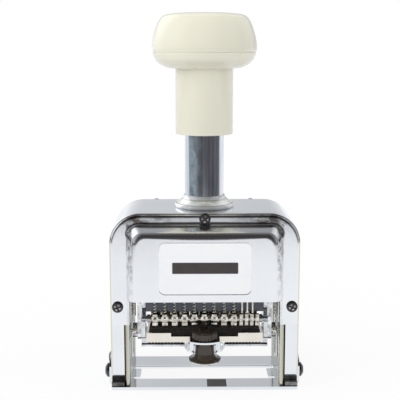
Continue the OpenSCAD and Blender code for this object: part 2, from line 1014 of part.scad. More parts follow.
module wheel_1() wheel(0);
module wheel_2() wheel(1);
module wheel_3() wheel(2);
module wheel_4() wheel(3);
module wheel_5() wheel(4);
module wheel_6() wheel(5);
module wheel_7() wheel(6);
module wheel_8() wheel(7);
module wheel_9() wheel(8);

// Repeat drum beside the wheels: two toothed discs on a hub
module repeat_drum() {
    width = drum_end - drum_x;
    color("silver")
    translate([drum_x, wheel_y, wheel_z])
    rotate([90, 0, 90])
    difference() {
        union() {
            cylinder(r = 5, h = width);
            linear_extrude(width * 0.4)
            ratchet(drum_r, 12, 1.6);
            translate([0, 0, width * 0.55])
            linear_extrude(width * 0.4)
            ratchet(drum_r, 12, 1.2);
        }
        translate([0, 0, -1])
        cylinder(r = shaft_d / 2 + run, h = width + 2);
    }
}

// ---- Detents ----

// Side outline of a detent: hub, nose towards the wheel, spring seat and foot
module detent_outline(nose) {
    hub = [detent_y, detent_z];
    tip_r = 0.6;
    tip = swung(wheel_y, wheel_z, nose + nose_gap + tip_r, nose_angle);
    difference() {
        union() {
            translate(hub)
            circle(1.95);
            link(hub, tip, tip_r);
            link(hub, hub + [0.1, -2.2], 1.15);
            translate([spring_y - 1, detent_z])
            square([2, tail_top - detent_z]);
        }
        translate(hub)
        circle(detent_rod_r + run);
    }
}

// Front outline of a detent: a round head over the rod and a narrower nose
module detent_front(x) {
    translate([x, detent_z + 0.4])
    circle(detent_w / 2 + 0.05);
    translate([x, detent_z - 2])
    round_rect(detent_w - 0.6, 3.2, 0.7);
    translate([x, detent_z - 3.6])
    round_rect(detent_w - 1.5, 3.4, 0.6);
    translate([x - 1, detent_z])
    square([2, tail_top - detent_z + 1]);
}

module detent(i) {
    x = wheel_x(i);
    color("gainsboro")
    difference() {
        union() {
            intersection() {
                along_x(x - detent_w / 2, x + detent_w / 2)
                detent_outline(wheel_r);
                along_y(detent_y - 5, detent_y + 10)
                detent_front(x);
            }
            disc_x(x - wheel_pitch / 2 + 0.1, x + wheel_pitch / 2 - 0.1, 1.6,
                detent_rod_r + run, detent_y, detent_z);
        }
        translate([x, detent_y - 2.6, detent_z + 0.9])
        rotate([-90, 0, 0])
        cylinder(r = 0.5, h = 1.3);
    }
}

module detent_1() detent(0);
module detent_2() detent(1);
module detent_3() detent(2);
module detent_4() detent(3);
module detent_5() detent(4);
module detent_6() detent(5);
module detent_7() detent(6);
module detent_8() detent(7);
module detent_9() detent(8);

module repeat_levers() {
    color("gainsboro")
    for (i = [0:lever_count - 1])
        along_x(lever_x(i) - lever_w / 2, lever_x(i) + lever_w / 2)
        detent_outline(drum_r);
}

// ---- Feed frame ----

function feed_point(r, a) = [wheel_y + r * sin(a), wheel_z + r * cos(a)];

// Yoke behind the wheels: an arm on each journal, a bar across, and two followers
module feed_frame() {
    bar = feed_point(feed_r, feed_rest);
    pin = feed_point(feed_pin_r, feed_pin_rest);
    color("lightgray")
    difference() {
        union() {
            both_sides() {
                along_x(arm_x, arm_out)
                union() {
                    link([wheel_y, wheel_z], bar, 2.4);
                    link([wheel_y, wheel_z], pin, 2.4);
                    translate([wheel_y, wheel_z])
                    circle(3.2);
                }
                along_x(arm_x, pin_end)
                translate(pin)
                circle(pin_r);
            }
            along_x(-arm_out, arm_out)
            translate(bar)
            circle(feed_bar_r);
        }
        along_x(-arm_out - 1, arm_out + 1)
        translate([wheel_y, wheel_z])
        circle(journal_r + run);
    }
}

// Comb of feed fingers on the yoke's bar, one for each wheel
module feed_comb() {
    bar = feed_point(feed_r, feed_rest);
    tip = feed_point(wheel_r + nose_gap + 0.6, feed_rest + 12);
    color("silver")
    difference() {
        union() {
            along_x(stack_x, drum_end)
            translate(bar)
            circle(2.6);
            for (i = [0:wheel_count - 1])
                along_x(wheel_x(i) + 0.3, wheel_x(i) + 1.8)
                link(bar, tip, 0.6);
        }
        along_x(stack_x - 1, drum_end + 1)
        translate(bar)
        circle(feed_bar_r + run);
    }
}

// ---- Ink pad ----

// Arm on the carriage's pivot, with its follower and a foot beside the tray
module pad_arm() {
    pivot = [pivot_y, pivot_z];
    pin = swung(pivot_y, pivot_z, pad_pin_r, pad_pin_rest);
    foot = [pivot_y - 0.2, tray_low + 2.4];
    color("lightgray")
    difference() {
        union() {
            along_x(arm_x, arm_out)
            union() {
                translate(pivot)
                circle(3.6);
                link(pivot, pin, 2.2);
                link(pivot, foot, 2.4);
            }
            along_x(arm_x, pin_end)
            translate(pin)
            circle(pin_r);
            along_x(arm_x, arm_out + 2)
            link(foot, foot + [1.5, 2.6], 1.6);
        }
        along_x(arm_x - 1, pin_end + 1)
        translate(pivot)
        circle(pivot_r + run);
    }
}

module pad_arm_right() pad_arm();
module pad_arm_left() mirror([1, 0, 0]) pad_arm();

// Shouldered studs that the arms swing on
module pad_pivots() {
    color("silver")
    both_sides() {
        along_x(side_x + 0.2, plate_x)
        translate([pivot_y, pivot_z])
        circle(pivot_r - 0.5);
        along_x(plate_x, arm_out + 0.3)
        translate([pivot_y, pivot_z])
        circle(pivot_r);
        along_x(arm_out + 0.3, arm_out + 1.2)
        translate([pivot_y, pivot_z])
        circle(3);
    }
}

// Tray between the arms: a floor, side brackets and a rear stop
module pad_tray() {
    wall = arm_x - cassette_x - 0.4;
    color("whitesmoke")
    union() {
        translate([-arm_x, tray_front, tray_low])
        cube([2 * arm_x, tray_rear - tray_front, tray_t]);
        both_sides()
        translate([arm_x - wall, tray_front + 0.6, tray_low])
        cube([wall, tray_rear - tray_front - 2, 7.8]);
        translate([-cassette_x, tray_rear - 0.9, tray_low])
        cube([2 * cassette_x, 0.9, 2.6]);
        both_sides()
        tray_lip();
    }
}

// Ribbed lip under the tray's front edge, beside the latch
module tray_lip() {
    low = tray_low - 2.5;
    from = dish_r - 0.4;
    ribs = 11;
    translate([from, tray_front + 0.8, low])
    cube([arm_x - from, 0.9, tray_low - low + eps]);
    translate([from, tray_front - 0.4, low])
    cube([arm_x - from, 1.3, 0.8]);
    for (i = [0:ribs - 1])
        translate([from + 1.05 * i, tray_front - 0.7, low])
        cube([0.5, 0.5, 0.8]);
}

// Cassette that slides out of the tray: a shallow trough and its front strip
module ink_cassette() {
    half = cassette_x - 0.2;
    notch_w = 28.2;
    low = cassette_low;
    color("antiquewhite")
    difference() {
        union() {
            translate([-half, tray_front, low])
            cube([2 * half, tray_rear - 1.2 - tray_front, felt_low + 1.3 - low]);
            translate([-half, strip_y - 0.8, strip_low])
            cube([2 * half, 0.8, strip_top - strip_low]);
            translate([-half, strip_y - eps, low])
            cube([2 * half, tray_front - strip_y + 2 * eps, felt_low + 1.3 - low]);
        }
        translate([-half + 0.8, tray_front + 0.8, felt_low])
        cube([2 * half - 1.6, tray_rear - 1.2 - tray_front - 1.6, 5]);
        translate([-notch_w / 2, strip_y - 1, felt_low + 0.1])
        cube([notch_w, 4, felt_t + 1]);
        waist_room();
    }
}

module ink_pad() {
    half = cassette_x - 0.2;
    color([0.22, 0.2, 0.18])
    translate([-half + 1, tray_front + 1, felt_low])
    cube([2 * half - 2, tray_rear - 1.2 - tray_front - 2, felt_t]);
}

// Bracket in front of the strip: a plate with two lugs, and two legs down to the
// open dish round the latch knob's waist
module latch_bracket() {
    front = latch_y - 4.2;
    color("silver")
    difference() {
        union() {
            translate([0, 0, bracket_top - 0.8])
            linear_extrude(0.8)
            intersection() {
                translate([-6.2, front - 2])
                square([12.4, strip_y - 0.8 - front + 2]);
                translate([0, latch_y + 5.4])
                circle(11.4);
            }
            both_sides()
            translate([5.3, front, bracket_top - 4])
            cube([0.9, 3, 3.6]);
            translate([-6.2, strip_y - 1.6, bracket_top - 4])
            cube([12.4, 0.8, 3.6]);
            both_sides()
            translate([latch_waist + 0.8, latch_y + 0.2, dish_top - dish_h + 0.2])
            cube([0.6, 2.2, bracket_top - 0.4 - dish_top + dish_h - 0.2]);
            translate([0, dish_y, dish_top - dish_h])
            difference() {
                cylinder(r1 = dish_r - 0.9, r2 = dish_r, h = dish_h);
                translate([0, 0, 0.5])
                cylinder(r1 = dish_r - 1.3, r2 = dish_r - 0.5, h = dish_h);
            }
        }
        translate([0, latch_y, bracket_top - 6])
        cylinder(r = 2 + run, h = 8);
        translate([0, latch_y, dish_top - dish_h - 1])
        cylinder(r = latch_waist + 0.7, h = dish_h + 2);
        waist_room();
    }
}

// Room for the latch knob's waist under the bracket's plate and in the strip
module waist_room() {
    translate([0, latch_y, tray_low - 6])
    cylinder(r = latch_waist + slip, h = bracket_top - 0.8 - tray_low + 6);
}

// Spool-shaped knob: a ribbed head, a stem in the bracket, a waist and a flared disc
module latch_knob() {
    flare = latch_d / 2;
    under = bracket_top - 0.8 - slip - latch_low;
    ribs = 20;
    color([0.16, 0.14, 0.12])
    union() {
        translate([0, latch_y, bracket_top + slip])
        linear_extrude(head_top - bracket_top - slip - 0.5)
        polygon([for (i = [0:ribs - 1], k = [0:3])
            let (a = 360 / ribs * (i + [0, 0.15, 0.5, 0.65][k]), q = k < 2 ? head_r - 0.35 : head_r)
            q * [cos(a), sin(a)]]);
        translate([0, latch_y, head_top - 0.5 - eps])
        cylinder(r1 = head_r - 0.4, r2 = head_r - 0.9, h = 0.5 + eps);
        latch_spool(latch_waist, flare, under);
    }
}

module latch_spool(waist, flare, under) {
    translate([0, latch_y, latch_low])
    rotate_extrude()
    polygon(concat(
        [[0, 0], [flare - 0.4, 0], [flare, 0.4], [flare, 1]],
        [for (i = [1:8])
            let (a = 90 * i / 8)
            [waist + (flare - waist) * (1 - sin(a)), 1 + 3 * (1 - cos(a))]],
        [[waist, under], [2, under], [2, head_top - latch_low], [0, head_top - latch_low]]));
}

base_frame();
foot_strips();
base_screws();
outer_frame();
guide_plate_left();
guide_plate_right();
front_cover();
label_plate();
front_cover_screws();
rear_cover();
rear_cover_screws();
column_tube();
column_collar();
guide_bush();
return_spring();
lock_button();
lock_spring();
knob_cap();
handle_body();
plunger_rod();
spring_cup();
carriage_bridge();
carriage_plate_left();
carriage_plate_right();
tie_rods();
wheel_shaft();
detent_rod();
spring_bar();
detent_springs();
repeat_wires();
wheel_1();
wheel_2();
wheel_3();
wheel_4();
wheel_5();
wheel_6();
wheel_7();
wheel_8();
wheel_9();
repeat_drum();
detent_1();
detent_2();
detent_3();
detent_4();
detent_5();
detent_6();
detent_7();
detent_8();
detent_9();
repeat_levers();
feed_frame();
feed_comb();
pad_arm_left();
pad_arm_right();
pad_tray();
ink_cassette();
ink_pad();
latch_bracket();
latch_knob();
pad_pivots();
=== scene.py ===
import json
import math
import random

import bmesh
import bpy
from mathutils import Matrix, Vector


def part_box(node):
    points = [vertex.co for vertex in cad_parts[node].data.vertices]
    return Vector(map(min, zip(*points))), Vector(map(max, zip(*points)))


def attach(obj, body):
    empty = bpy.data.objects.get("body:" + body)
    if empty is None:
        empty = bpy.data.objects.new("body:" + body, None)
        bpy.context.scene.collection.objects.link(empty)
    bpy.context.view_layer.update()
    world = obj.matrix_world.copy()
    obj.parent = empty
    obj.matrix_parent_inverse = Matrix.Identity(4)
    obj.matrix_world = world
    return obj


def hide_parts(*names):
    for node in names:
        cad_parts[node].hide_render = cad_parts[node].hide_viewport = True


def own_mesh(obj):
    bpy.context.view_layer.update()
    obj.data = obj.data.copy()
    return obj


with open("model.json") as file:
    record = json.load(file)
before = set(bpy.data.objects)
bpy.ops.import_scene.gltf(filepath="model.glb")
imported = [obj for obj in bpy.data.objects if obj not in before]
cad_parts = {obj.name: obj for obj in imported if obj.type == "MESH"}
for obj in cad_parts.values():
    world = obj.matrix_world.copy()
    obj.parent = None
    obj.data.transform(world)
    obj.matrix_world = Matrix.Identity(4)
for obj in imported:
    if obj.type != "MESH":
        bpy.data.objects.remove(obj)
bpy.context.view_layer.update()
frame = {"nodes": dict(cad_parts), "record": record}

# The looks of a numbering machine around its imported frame: +Z is up, the front faces -Y.
# Blender works in metres; outlines are written in millimetres and scaled by MM.
MM = 0.001


def link(thing):
    bpy.context.scene.collection.objects.link(thing)


def mm(x, y, z):
    """A place or a way given in millimetres."""
    return Vector((x, y, z)) * MM


# ---- Camera, at the photograph's place ----

# Found by fitting the base, the arch and the knob to their places in the photograph.
FOCAL_PX = 850.0
PICTURE_PX = 400.0
SENSOR_MM = 36.0
CAMERA_AT = (-0.00582, -0.35577, 0.13792)
CAMERA_PITCH = math.radians(9.644)
CAMERA_YAW = math.radians(-0.649)
CLIP = (0.01, 20.0)


def make_camera():
    """The camera that sees what the photograph shows."""
    data = bpy.data.cameras.new("camera")
    data.sensor_width = SENSOR_MM
    data.lens = FOCAL_PX / PICTURE_PX * SENSOR_MM
    data.clip_start, data.clip_end = CLIP
    cam = bpy.data.objects.new("camera", data)
    link(cam)
    cam.location = CAMERA_AT
    cam.rotation_euler = (math.pi / 2 - CAMERA_PITCH, 0.0, CAMERA_YAW)
    bpy.context.scene.camera = cam


# ---- Node helpers ----


class Tree:
    """A short way to add and join the shader nodes of a material or a world."""

    def __init__(self, owner, out="ShaderNodeOutputMaterial"):
        owner.use_nodes = True
        self.tree = owner.node_tree
        self.tree.nodes.clear()
        self.out = self.add(out)

    def add(self, kind, values=None, **settings):
        """A node with its input values or links, by socket, and its own settings."""
        node = self.tree.nodes.new(kind)
        for key, value in settings.items():
            setattr(node, key, value)
        for key, value in (values or {}).items():
            if isinstance(value, bpy.types.NodeSocket):
                self.tree.links.new(value, node.inputs[key])
            else:
                node.inputs[key].default_value = value
        return node

    def finish(self, node):
        """Makes a shader node the look of the surface."""
        self.tree.links.new(node.outputs[0], self.out.inputs["Surface"])

    def axes(self, kind="ShaderNodeTexCoord", socket="Object"):
        """X, Y and Z of a vector, which is the place on the piece unless told otherwise."""
        vector = self.add(kind).outputs[socket]
        return self.add("ShaderNodeSeparateXYZ", {"Vector": vector}).outputs

    def noise(self, scale, detail=3.0, rough=0.5, stretch=(1, 1, 1)):
        """Cloudy noise from 0 to 1, most of it between 0.3 and 0.7."""
        place = self.add("ShaderNodeTexCoord").outputs["Object"]
        mapped = self.add("ShaderNodeMapping", {"Vector": place, "Scale": stretch})
        values = {"Scale": scale, "Detail": detail, "Roughness": rough}
        values["Vector"] = mapped.outputs["Vector"]
        return self.add("ShaderNodeTexNoise", values).outputs["Fac"]

    def span(self, value, low, high, from_low=0.3, from_high=0.7):
        """A value carried from one span to another and kept inside it."""
        values = {"Value": value, "From Min": from_low, "From Max": from_high}
        values.update({"To Min": low, "To Max": high})
        return self.add("ShaderNodeMapRange", values).outputs["Result"]

    def rise(self, value, low=0.3, high=0.7):
        """0 up to one value, 1 from the other on."""
        return self.span(value, 0.0, 1.0, low, high)

    def fall(self, value, low, high):
        return self.span(value, 1.0, 0.0, low, high)

    def mix(self, share, a, b, blend="MIX"):
        """A blend of two colours."""
        values = {0: share, 6: a, 7: b}
        return self.add("ShaderNodeMix", values, data_type="RGBA", blend_type=blend).outputs[2]

    def ramp(self, value, stops):
        """Grey levels along a value, as (position, level) or (position, colour) pairs."""
        node = self.add("ShaderNodeValToRGB", {"Fac": value})
        line = node.color_ramp.elements
        while len(line) < len(stops):
            line.new(0.5)
        for step, (where, level) in zip(line, stops):
            step.position = where
            step.color = level if isinstance(level, tuple) else (level, level, level, 1)
        return node.outputs["Color"]

    def math(self, kind, a, b=0.0):
        return self.add("ShaderNodeMath", {0: a, 1: b}, operation=kind).outputs[0]

    def product(self, a, b):
        return self.math("MULTIPLY", a, b)

    def bump(self, height, strength, depth):
        values = {"Height": height, "Strength": strength, "Distance": depth}
        return self.add("ShaderNodeBump", values).outputs["Normal"]

    def principled(self, color, metallic, rough, normal, others=None):
        values = {"Base Color": color, "Metallic": metallic, "Roughness": rough}
        values.update({"Normal": normal, **(others or {})})
        return self.add("ShaderNodeBsdfPrincipled", values)

    def layer(self, share, under, over):
        """A mix of two shaders."""
        values = {"Fac": share, 1: under.outputs[0], 2: over.outputs[0]}
        return self.add("ShaderNodeMixShader", values)

    def choose(self, ray, other, chosen):
        """The chosen shader for one kind of ray, and the other one for the rest."""
        return self.layer(self.add("ShaderNodeLightPath").outputs[ray], other, chosen)


def new_material(name):
    """A material and the tree that its nodes go into."""
    material = bpy.data.materials.new(name)
    return material, Tree(material)


def rgb(r, g, b):
    """A colour given as it looks on screen, from 0 to 255."""
    return tuple(
        (c / 255 / 12.92) if c / 255 <= 0.04045 else ((c / 255 + 0.055) / 1.055) ** 2.4
        for c in (r, g, b)
    ) + (1.0,)


def surface(
    name, color, other, metallic, roughness, patch, grain, bump,
    stretch=(1, 1, 1), depth=0.00002, coat=0.0, sheen=0.0,
):
    """Patches of two near colours, from 0 to 255, with uneven roughness and a fine grain."""
    material, t = new_material(name)
    patches = t.noise(patch, 4.0, 0.55)
    fine = t.noise(grain, 3.0, 0.6, stretch)
    shade = t.mix(t.rise(patches), rgb(*color), rgb(*other))
    t.finish(t.principled(
        shade, metallic, t.span(fine, *roughness), t.bump(fine, bump, depth),
        {"Coat Weight": coat, "Sheen Weight": sheen},
    ))
    return material


# ---- Floor, backdrop light and lamps ----

FLOOR_HALF = 3.0
FLOOR_DROP = 0.00002
PAPER = (0.86, 0.86, 0.86, 1.0)
PAPER_END = (0.06, 0.24)
WHITE = (1, 1, 1, 1)
# The floor's mirror image: bright near the object, dark from MIRROR_END on in front.
MIRROR_NEAR = (0.93, 0.95, 0.97, 1)
MIRROR_FAR = (0.1, 0.102, 0.112, 1)
MIRROR_END = (0.35, 0.46)
# How far a direction faces the front, from 1 in front to -1 behind, where the studio's
# dark front begins and where its brighter side walls take over.
FRONT_EDGE = (-0.32, -0.05)
SIDE_EDGE = (0.45, 0.85)
# Levels that polished metal mirrors, along the height of the direction, 0 to 1.
BEHIND = [
    (0.0, 0.9), (0.12, 0.7), (0.2, 0.62), (0.4, 0.62), (0.6, 0.44),
    (0.87, 0.38), (0.95, 0.28), (1.0, 0.16),
]
ROOM = [
    (0.0, (0.105, 0.084, 0.074, 1)), (0.14, (0.055, 0.049, 0.048, 1)), (0.6, 0.042),
    (0.93, (0.07, 0.058, 0.055, 1)), (1.0, 0.16),
]
WALLS = [(0.0, 0.42), (0.3, 0.4), (0.6, 0.3), (0.95, 0.18), (1.0, 0.16)]
# Two bright windows behind the object, one at each side, towards (±x, y, z).
WINDOW_WAY = (0.66, 0.555, 0.503)
WINDOW_EDGE = (0.86, 0.97)
WINDOW = (1.2, 1.2, 1.18, 1)
# The left side of the studio is the brighter one.
LEFT_RIGHT = (1.3, 0.68)
LEFT_RIGHT_EDGE = (-0.6, 0.6)
COOL = (0.97, 0.99, 1.02, 1)
EVEN = (0.94, 0.96, 1.0, 1)
EVEN_STRENGTH = 0.42


def heading(t, axes):
    """Distance from the vertical axis, and how far a direction faces the front: 1 to -1."""
    squares = t.math("ADD", t.product(axes["X"], axes["X"]), t.product(axes["Y"], axes["Y"]))
    flat = t.math("SQRT", squares)
    back = t.math("DIVIDE", axes["Y"], t.math("MAXIMUM", flat, 0.0001))
    return flat, t.product(back, -1.0)


def floor_material():
    """White paper with a soft shadow; away from the object its mirror image darkens in front."""
    material, t = new_material("floor_paper")
    away, front = heading(t, t.axes("ShaderNodeNewGeometry", "Position"))
    paper = t.add("ShaderNodeBsdfDiffuse", {"Color": PAPER, "Roughness": 0.6})
    glow = t.add("ShaderNodeEmission", {"Color": WHITE, "Strength": 1.0})
    seen = t.layer(t.span(away, 0.9, 1.0, *PAPER_END), paper, glow)
    dark = t.product(t.rise(front, *FRONT_EDGE), t.rise(away, *MIRROR_END))
    mirrored = t.add(
        "ShaderNodeEmission", {"Color": t.mix(dark, MIRROR_NEAR, MIRROR_FAR), "Strength": 1.0}
    )
    t.finish(t.choose("Is Glossy Ray", t.choose("Is Camera Ray", paper, seen), mirrored))
    return material


def make_floor():
    """The plain pale floor, a hair under the base."""
    s = FLOOR_HALF
    mesh = bpy.data.meshes.new("floor")
    mesh.from_pydata([(-s, -s, 0), (s, -s, 0), (s, s, 0), (-s, s, 0)], [], [(0, 1, 2, 3)])
    mesh.materials.append(floor_material())
    floor = bpy.data.objects.new("floor", mesh)
    link(floor)
    floor.location.z = -FLOOR_DROP


def make_world():
    """White for the camera; a studio with a dark front for mirrors; an even level for the rest."""
    world = bpy.data.worlds.new("studio")
    bpy.context.scene.world = world
    t = Tree(world, "ShaderNodeOutputWorld")
    axes = t.axes(socket="Generated")
    _, front = heading(t, axes)
    height = axes["Z"]
    x, y, z = WINDOW_WAY
    flat = t.math("ADD", t.product(t.math("ABSOLUTE", axes["X"]), x), t.product(axes["Y"], y))
    window = t.rise(t.math("ADD", flat, t.product(height, z)), *WINDOW_EDGE)
    behind = t.mix(window, t.ramp(height, BEHIND), WINDOW)
    aside = t.fall(front, *SIDE_EDGE)
    ahead = t.mix(aside, t.ramp(height, ROOM), t.ramp(height, WALLS))
    whole = t.mix(t.rise(front, *FRONT_EDGE), behind, ahead)
    left = t.mix(1.0, t.span(axes["X"], *LEFT_RIGHT, *LEFT_RIGHT_EDGE), COOL, "MULTIPLY")
    mirrored, even, white = (
        t.add("ShaderNodeBackground", {"Color": color, "Strength": strength})
        for color, strength in (
            (t.mix(1.0, whole, left, "MULTIPLY"), 1.0), (EVEN, EVEN_STRENGTH), (WHITE, 1.0),
        )
    )
    shown = t.choose("Is Glossy Ray", even, mirrored)
    shown = t.choose("Is Transmission Ray", shown, white)
    t.finish(t.choose("Is Camera Ray", shown, white))


# Name, place, target, size and watts of each lamp.
LAMPS = [
    ("lamp_left", (-0.9, -0.35, 0.75), (0, 0, 0.07), (0.7, 0.7), 5.2),
    ("lamp_front", (-0.2, -1.2, 0.5), (0, 0, 0.08), (0.8, 0.6), 3.6),
    ("lamp_right", (0.95, -0.2, 0.6), (0, 0, 0.07), (0.5, 0.7), 2.0),
    ("lamp_top", (0.0, 0.1, 1.1), (0, 0, 0.05), (0.8, 0.8), 3.6),
]


def make_lights():
    """The studio's world and its soft lamps, which no mirror shows."""
    make_world()
    for name, at, aim, size, power in LAMPS:
        data = bpy.data.lights.new(name, "AREA")
        data.shape = "RECTANGLE"
        data.size, data.size_y = size
        data.energy = power
        lamp = bpy.data.objects.new(name, data)
        link(lamp)
        lamp.location = at
        lamp.rotation_euler = (Vector(aim) - Vector(at)).to_track_quat("-Z", "Y").to_euler()
        lamp.visible_camera = lamp.visible_glossy = False


# ---- Materials ----

# Looks of the record's material slots and of the scene's own pieces, by name.
LOOKS = {}
# Looks of single CAD nodes, which come before those of their slots.
NODE_LOOKS = {}


def look(name, *values, **more):
    LOOKS[name] = surface(name, *values, **more)


def make_looks():
    look("chrome", (240, 242, 245), (230, 233, 237), 1.0, (0.05, 0.11),
         patch=25, grain=1400, bump=0.02, depth=0.000004)
    LOOKS["chromed_sheet"] = sheet_chrome()
    look("black_rubber", (26, 26, 28), (44, 43, 44), 0.0, (0.12, 0.3),
         patch=260, grain=900, bump=0.4, depth=0.00006, coat=0.6)
    look("black_oxide", (52, 52, 55), (84, 84, 88), 0.8, (0.18, 0.32),
         patch=500, grain=2500, bump=0.2, depth=0.00002, coat=0.3)
    look("label", (255, 255, 255), (251, 252, 254), 0.0, (0.3, 0.4),
         patch=40, grain=1200, bump=0.05, depth=0.00001)
    look("label_ink", (62, 55, 55), (70, 63, 62), 0.0, (0.35, 0.5),
         patch=300, grain=1500, bump=0.1, depth=0.00001)
    look("brass", (206, 178, 112), (190, 160, 96), 1.0, (0.2, 0.32),
         patch=120, grain=1500, stretch=(1, 1, 6), bump=0.1)
    look("spring_steel", (252, 250, 244), (214, 204, 186), 0.6, (0.15, 0.3),
         patch=500, grain=2500, bump=0.05)
    look("cream_plastic", (239, 235, 216), (235, 231, 211), 0.0, (0.12, 0.18),
         patch=30, grain=300, bump=0.02, depth=0.00001, coat=0.4)
    look("steel", (196, 196, 196), (170, 170, 172), 1.0, (0.2, 0.34),
         patch=90, grain=1200, stretch=(6, 1, 1), bump=0.1, depth=0.00001)
    look("dark_steel", (92, 96, 104), (104, 108, 116), 0.4, (0.35, 0.5),
         patch=120, grain=1200, bump=0.1)
    look("wheel_brass", (205, 196, 168), (180, 170, 142), 1.0, (0.25, 0.4),
         patch=200, grain=2200, bump=0.15, depth=0.00001)
    look("nickel", (252, 249, 240), (132, 116, 92), 1.0, (0.08, 0.2),
         patch=620, grain=1000, bump=0.5, depth=0.00006)
    look("bright_nickel", (252, 250, 244), (232, 226, 212), 0.7, (0.08, 0.16),
         patch=300, grain=2200, bump=0.08, depth=0.00001)
    look("pale_tray", (228, 229, 231), (214, 215, 217), 0.6, (0.25, 0.38),
         patch=60, grain=1500, bump=0.05)
    look("beige_tray", (246, 240, 230), (236, 227, 214), 1.0, (0.2, 0.26),
         patch=90, grain=900, stretch=(0.2, 1, 1), bump=0.03, depth=0.00001)
    look("ink_felt", (58, 51, 48), (38, 34, 33), 0.0, (0.75, 0.95),
         patch=300, grain=1400, bump=0.9, depth=0.0003, sheen=0.2)
    look("black_plastic", (52, 44, 38), (70, 61, 53), 0.0, (0.12, 0.22),
         patch=80, grain=1200, bump=0.05)


# Dark mottled reflections are painted on the covers' plating: on the side slopes from |x| to
# |x|, fading in over the height, and on the top of the flange, fading in towards its corners.
SLOPE_IN, SLOPE_OUT = (0.0286, 0.0296), (0.0316, 0.0322)
SLOPE_FADE = (0.045, 0.062)
RIM_FROM, RIM_FADE = (0.0703, 0.071), (0.009, 0.024)


def sheet_chrome():
    """The covers' plating, with dark reflections painted on the box's side slopes and flange
    corners.
    """
    material, t = new_material("chromed_sheet")
    axes = t.axes()
    across, up = t.math("ABSOLUTE", axes["X"]), axes["Z"]
    slopes = t.product(t.rise(across, *SLOPE_IN), t.fall(across, *SLOPE_OUT))
    slopes = t.product(slopes, t.span(up, 0.25, 1.0, *SLOPE_FADE))
    rim = t.product(t.rise(up, *RIM_FROM), t.rise(across, *RIM_FADE))
    # Mottled dark reflections, painted on the slopes and on the flange's corners.
    painted_reflection = t.span(t.noise(330, 5.0, 0.65, (0.5, 1, 1)), 0.1, 1.0, 0.4, 0.6)
    share = t.product(t.math("MAXIMUM", slopes, rim), painted_reflection)
    clean = t.mix(t.rise(t.noise(30, 3.0, 0.5)), rgb(246, 247, 249), rgb(236, 238, 241))
    tint = t.mix(share, clean, rgb(112, 104, 100))
    fine = t.noise(1800, 3.0, 0.6)
    t.finish(t.principled(tint, 1.0, t.span(fine, 0.1, 0.18), t.bump(fine, 0.03, 0.000005)))
    return material


# The column's painted pale sheen lies left of its middle, and its two fine warm lines,
# painted reflections, lie at these places.
HAZE_IN, HAZE_OUT = (-0.0066, -0.0058), (-0.0035, -0.0005)
HAZE_SHARE = 0.45
WARM_REFLECTIONS = (-0.0012, 0.0018)
WARM_HALF = 0.00032


def streaked_chrome():
    """The column: chrome with long upright smears, a painted pale sheen left of the middle and two
    fine warm reflections painted at the front.
    """
    material, t = new_material("streaked_chrome")
    across = t.axes()["X"]
    smears = t.noise(420, 4.0, 0.6, (1, 1, 0.06))
    cloud = t.noise(110, 4.0, 0.65, (1, 1, 0.5))
    left = t.product(t.rise(across, *HAZE_IN), t.fall(across, *HAZE_OUT))
    # A pale sheen painted left of the middle.
    painted_sheen_mask = t.product(left, t.rise(cloud, 0.42, 0.62))
    tint = t.mix(t.rise(smears, 0.35, 0.68), rgb(196, 205, 216), rgb(250, 251, 252))
    # Two fine warm lines painted as reflections.
    for x in WARM_REFLECTIONS:
        near = t.math("ABSOLUTE", t.math("SUBTRACT", across, x))
        tint = t.mix(t.span(near, 0.75, 0.0, 0.0, WARM_HALF), tint, rgb(206, 168, 138))
    chrome = t.principled(tint, 1.0, t.span(smears, 0.05, 0.16), t.bump(smears, 0.25, 0.00002))
    painted_sheen = t.add(
        "ShaderNodeBsdfPrincipled", {"Base Color": rgb(186, 204, 214), "Roughness": 0.35}
    )
    t.finish(t.layer(t.product(painted_sheen_mask, HAZE_SHARE), chrome, painted_sheen))
    return material


# The collar's tint over its height, from the disc's foot to the top of the flare: bright bands
# painted as highlights and dark lines painted as shade.
COLLAR_SPAN = (0.075, 0.0802)
COLLAR_PAINTED_BANDS = [
    (0.0, (214, 220, 224)), (0.2, (252, 253, 252)), (0.3, (246, 247, 244)),
    (0.34, (168, 170, 166)), (0.38, (250, 252, 248)), (0.62, (236, 240, 232)),
    (0.7, (196, 198, 192)), (0.78, (252, 253, 252)), (1.0, (228, 232, 234)),
]


def collar_chrome():
    """The column's foot: bright satin chrome with fine turned rings, and painted highlight and
    shade bands.
    """
    material, t = new_material("collar_chrome")
    height = t.rise(t.axes()["Z"], *COLLAR_SPAN)
    # Highlight and shade bands, painted over the height.
    tint = t.ramp(height, [(where, rgb(*color)) for where, color in COLLAR_PAINTED_BANDS])
    streaks = t.noise(500, 3.0, 0.6, (1, 1, 0.15))
    tint = t.mix(t.span(streaks, 0.0, 0.3, 0.5, 0.75), tint, rgb(150, 152, 150))
    rings = t.noise(1, 2.0, 0.5, (60, 60, 5200))
    t.finish(t.principled(
        tint, 0.66, t.span(rings, 0.12, 0.28), t.bump(rings, 0.25, 0.00002), {"Coat Weight": 0.4}
    ))
    return material


def banded_chrome(name, bands, roughness):
    """Chrome whose tint runs in bands with the distance from the middle plane, in mm."""
    material, t = new_material(name)
    low, high = bands[0][0], bands[-1][0]
    place = t.rise(t.math("ABSOLUTE", t.axes()["X"]), low * MM, high * MM)
    tint = t.ramp(place, [((x - low) / (high - low), rgb(*color)) for x, color in bands])
    clouds = t.mix(t.span(t.noise(60, 4.0, 0.55), 0.0, 0.12), tint, rgb(190, 190, 188))
    fine = t.noise(1400, 3.0, 0.6)
    t.finish(t.principled(clouds, 1.0, t.span(fine, *roughness), t.bump(fine, 0.03, 0.000005)))
    return material


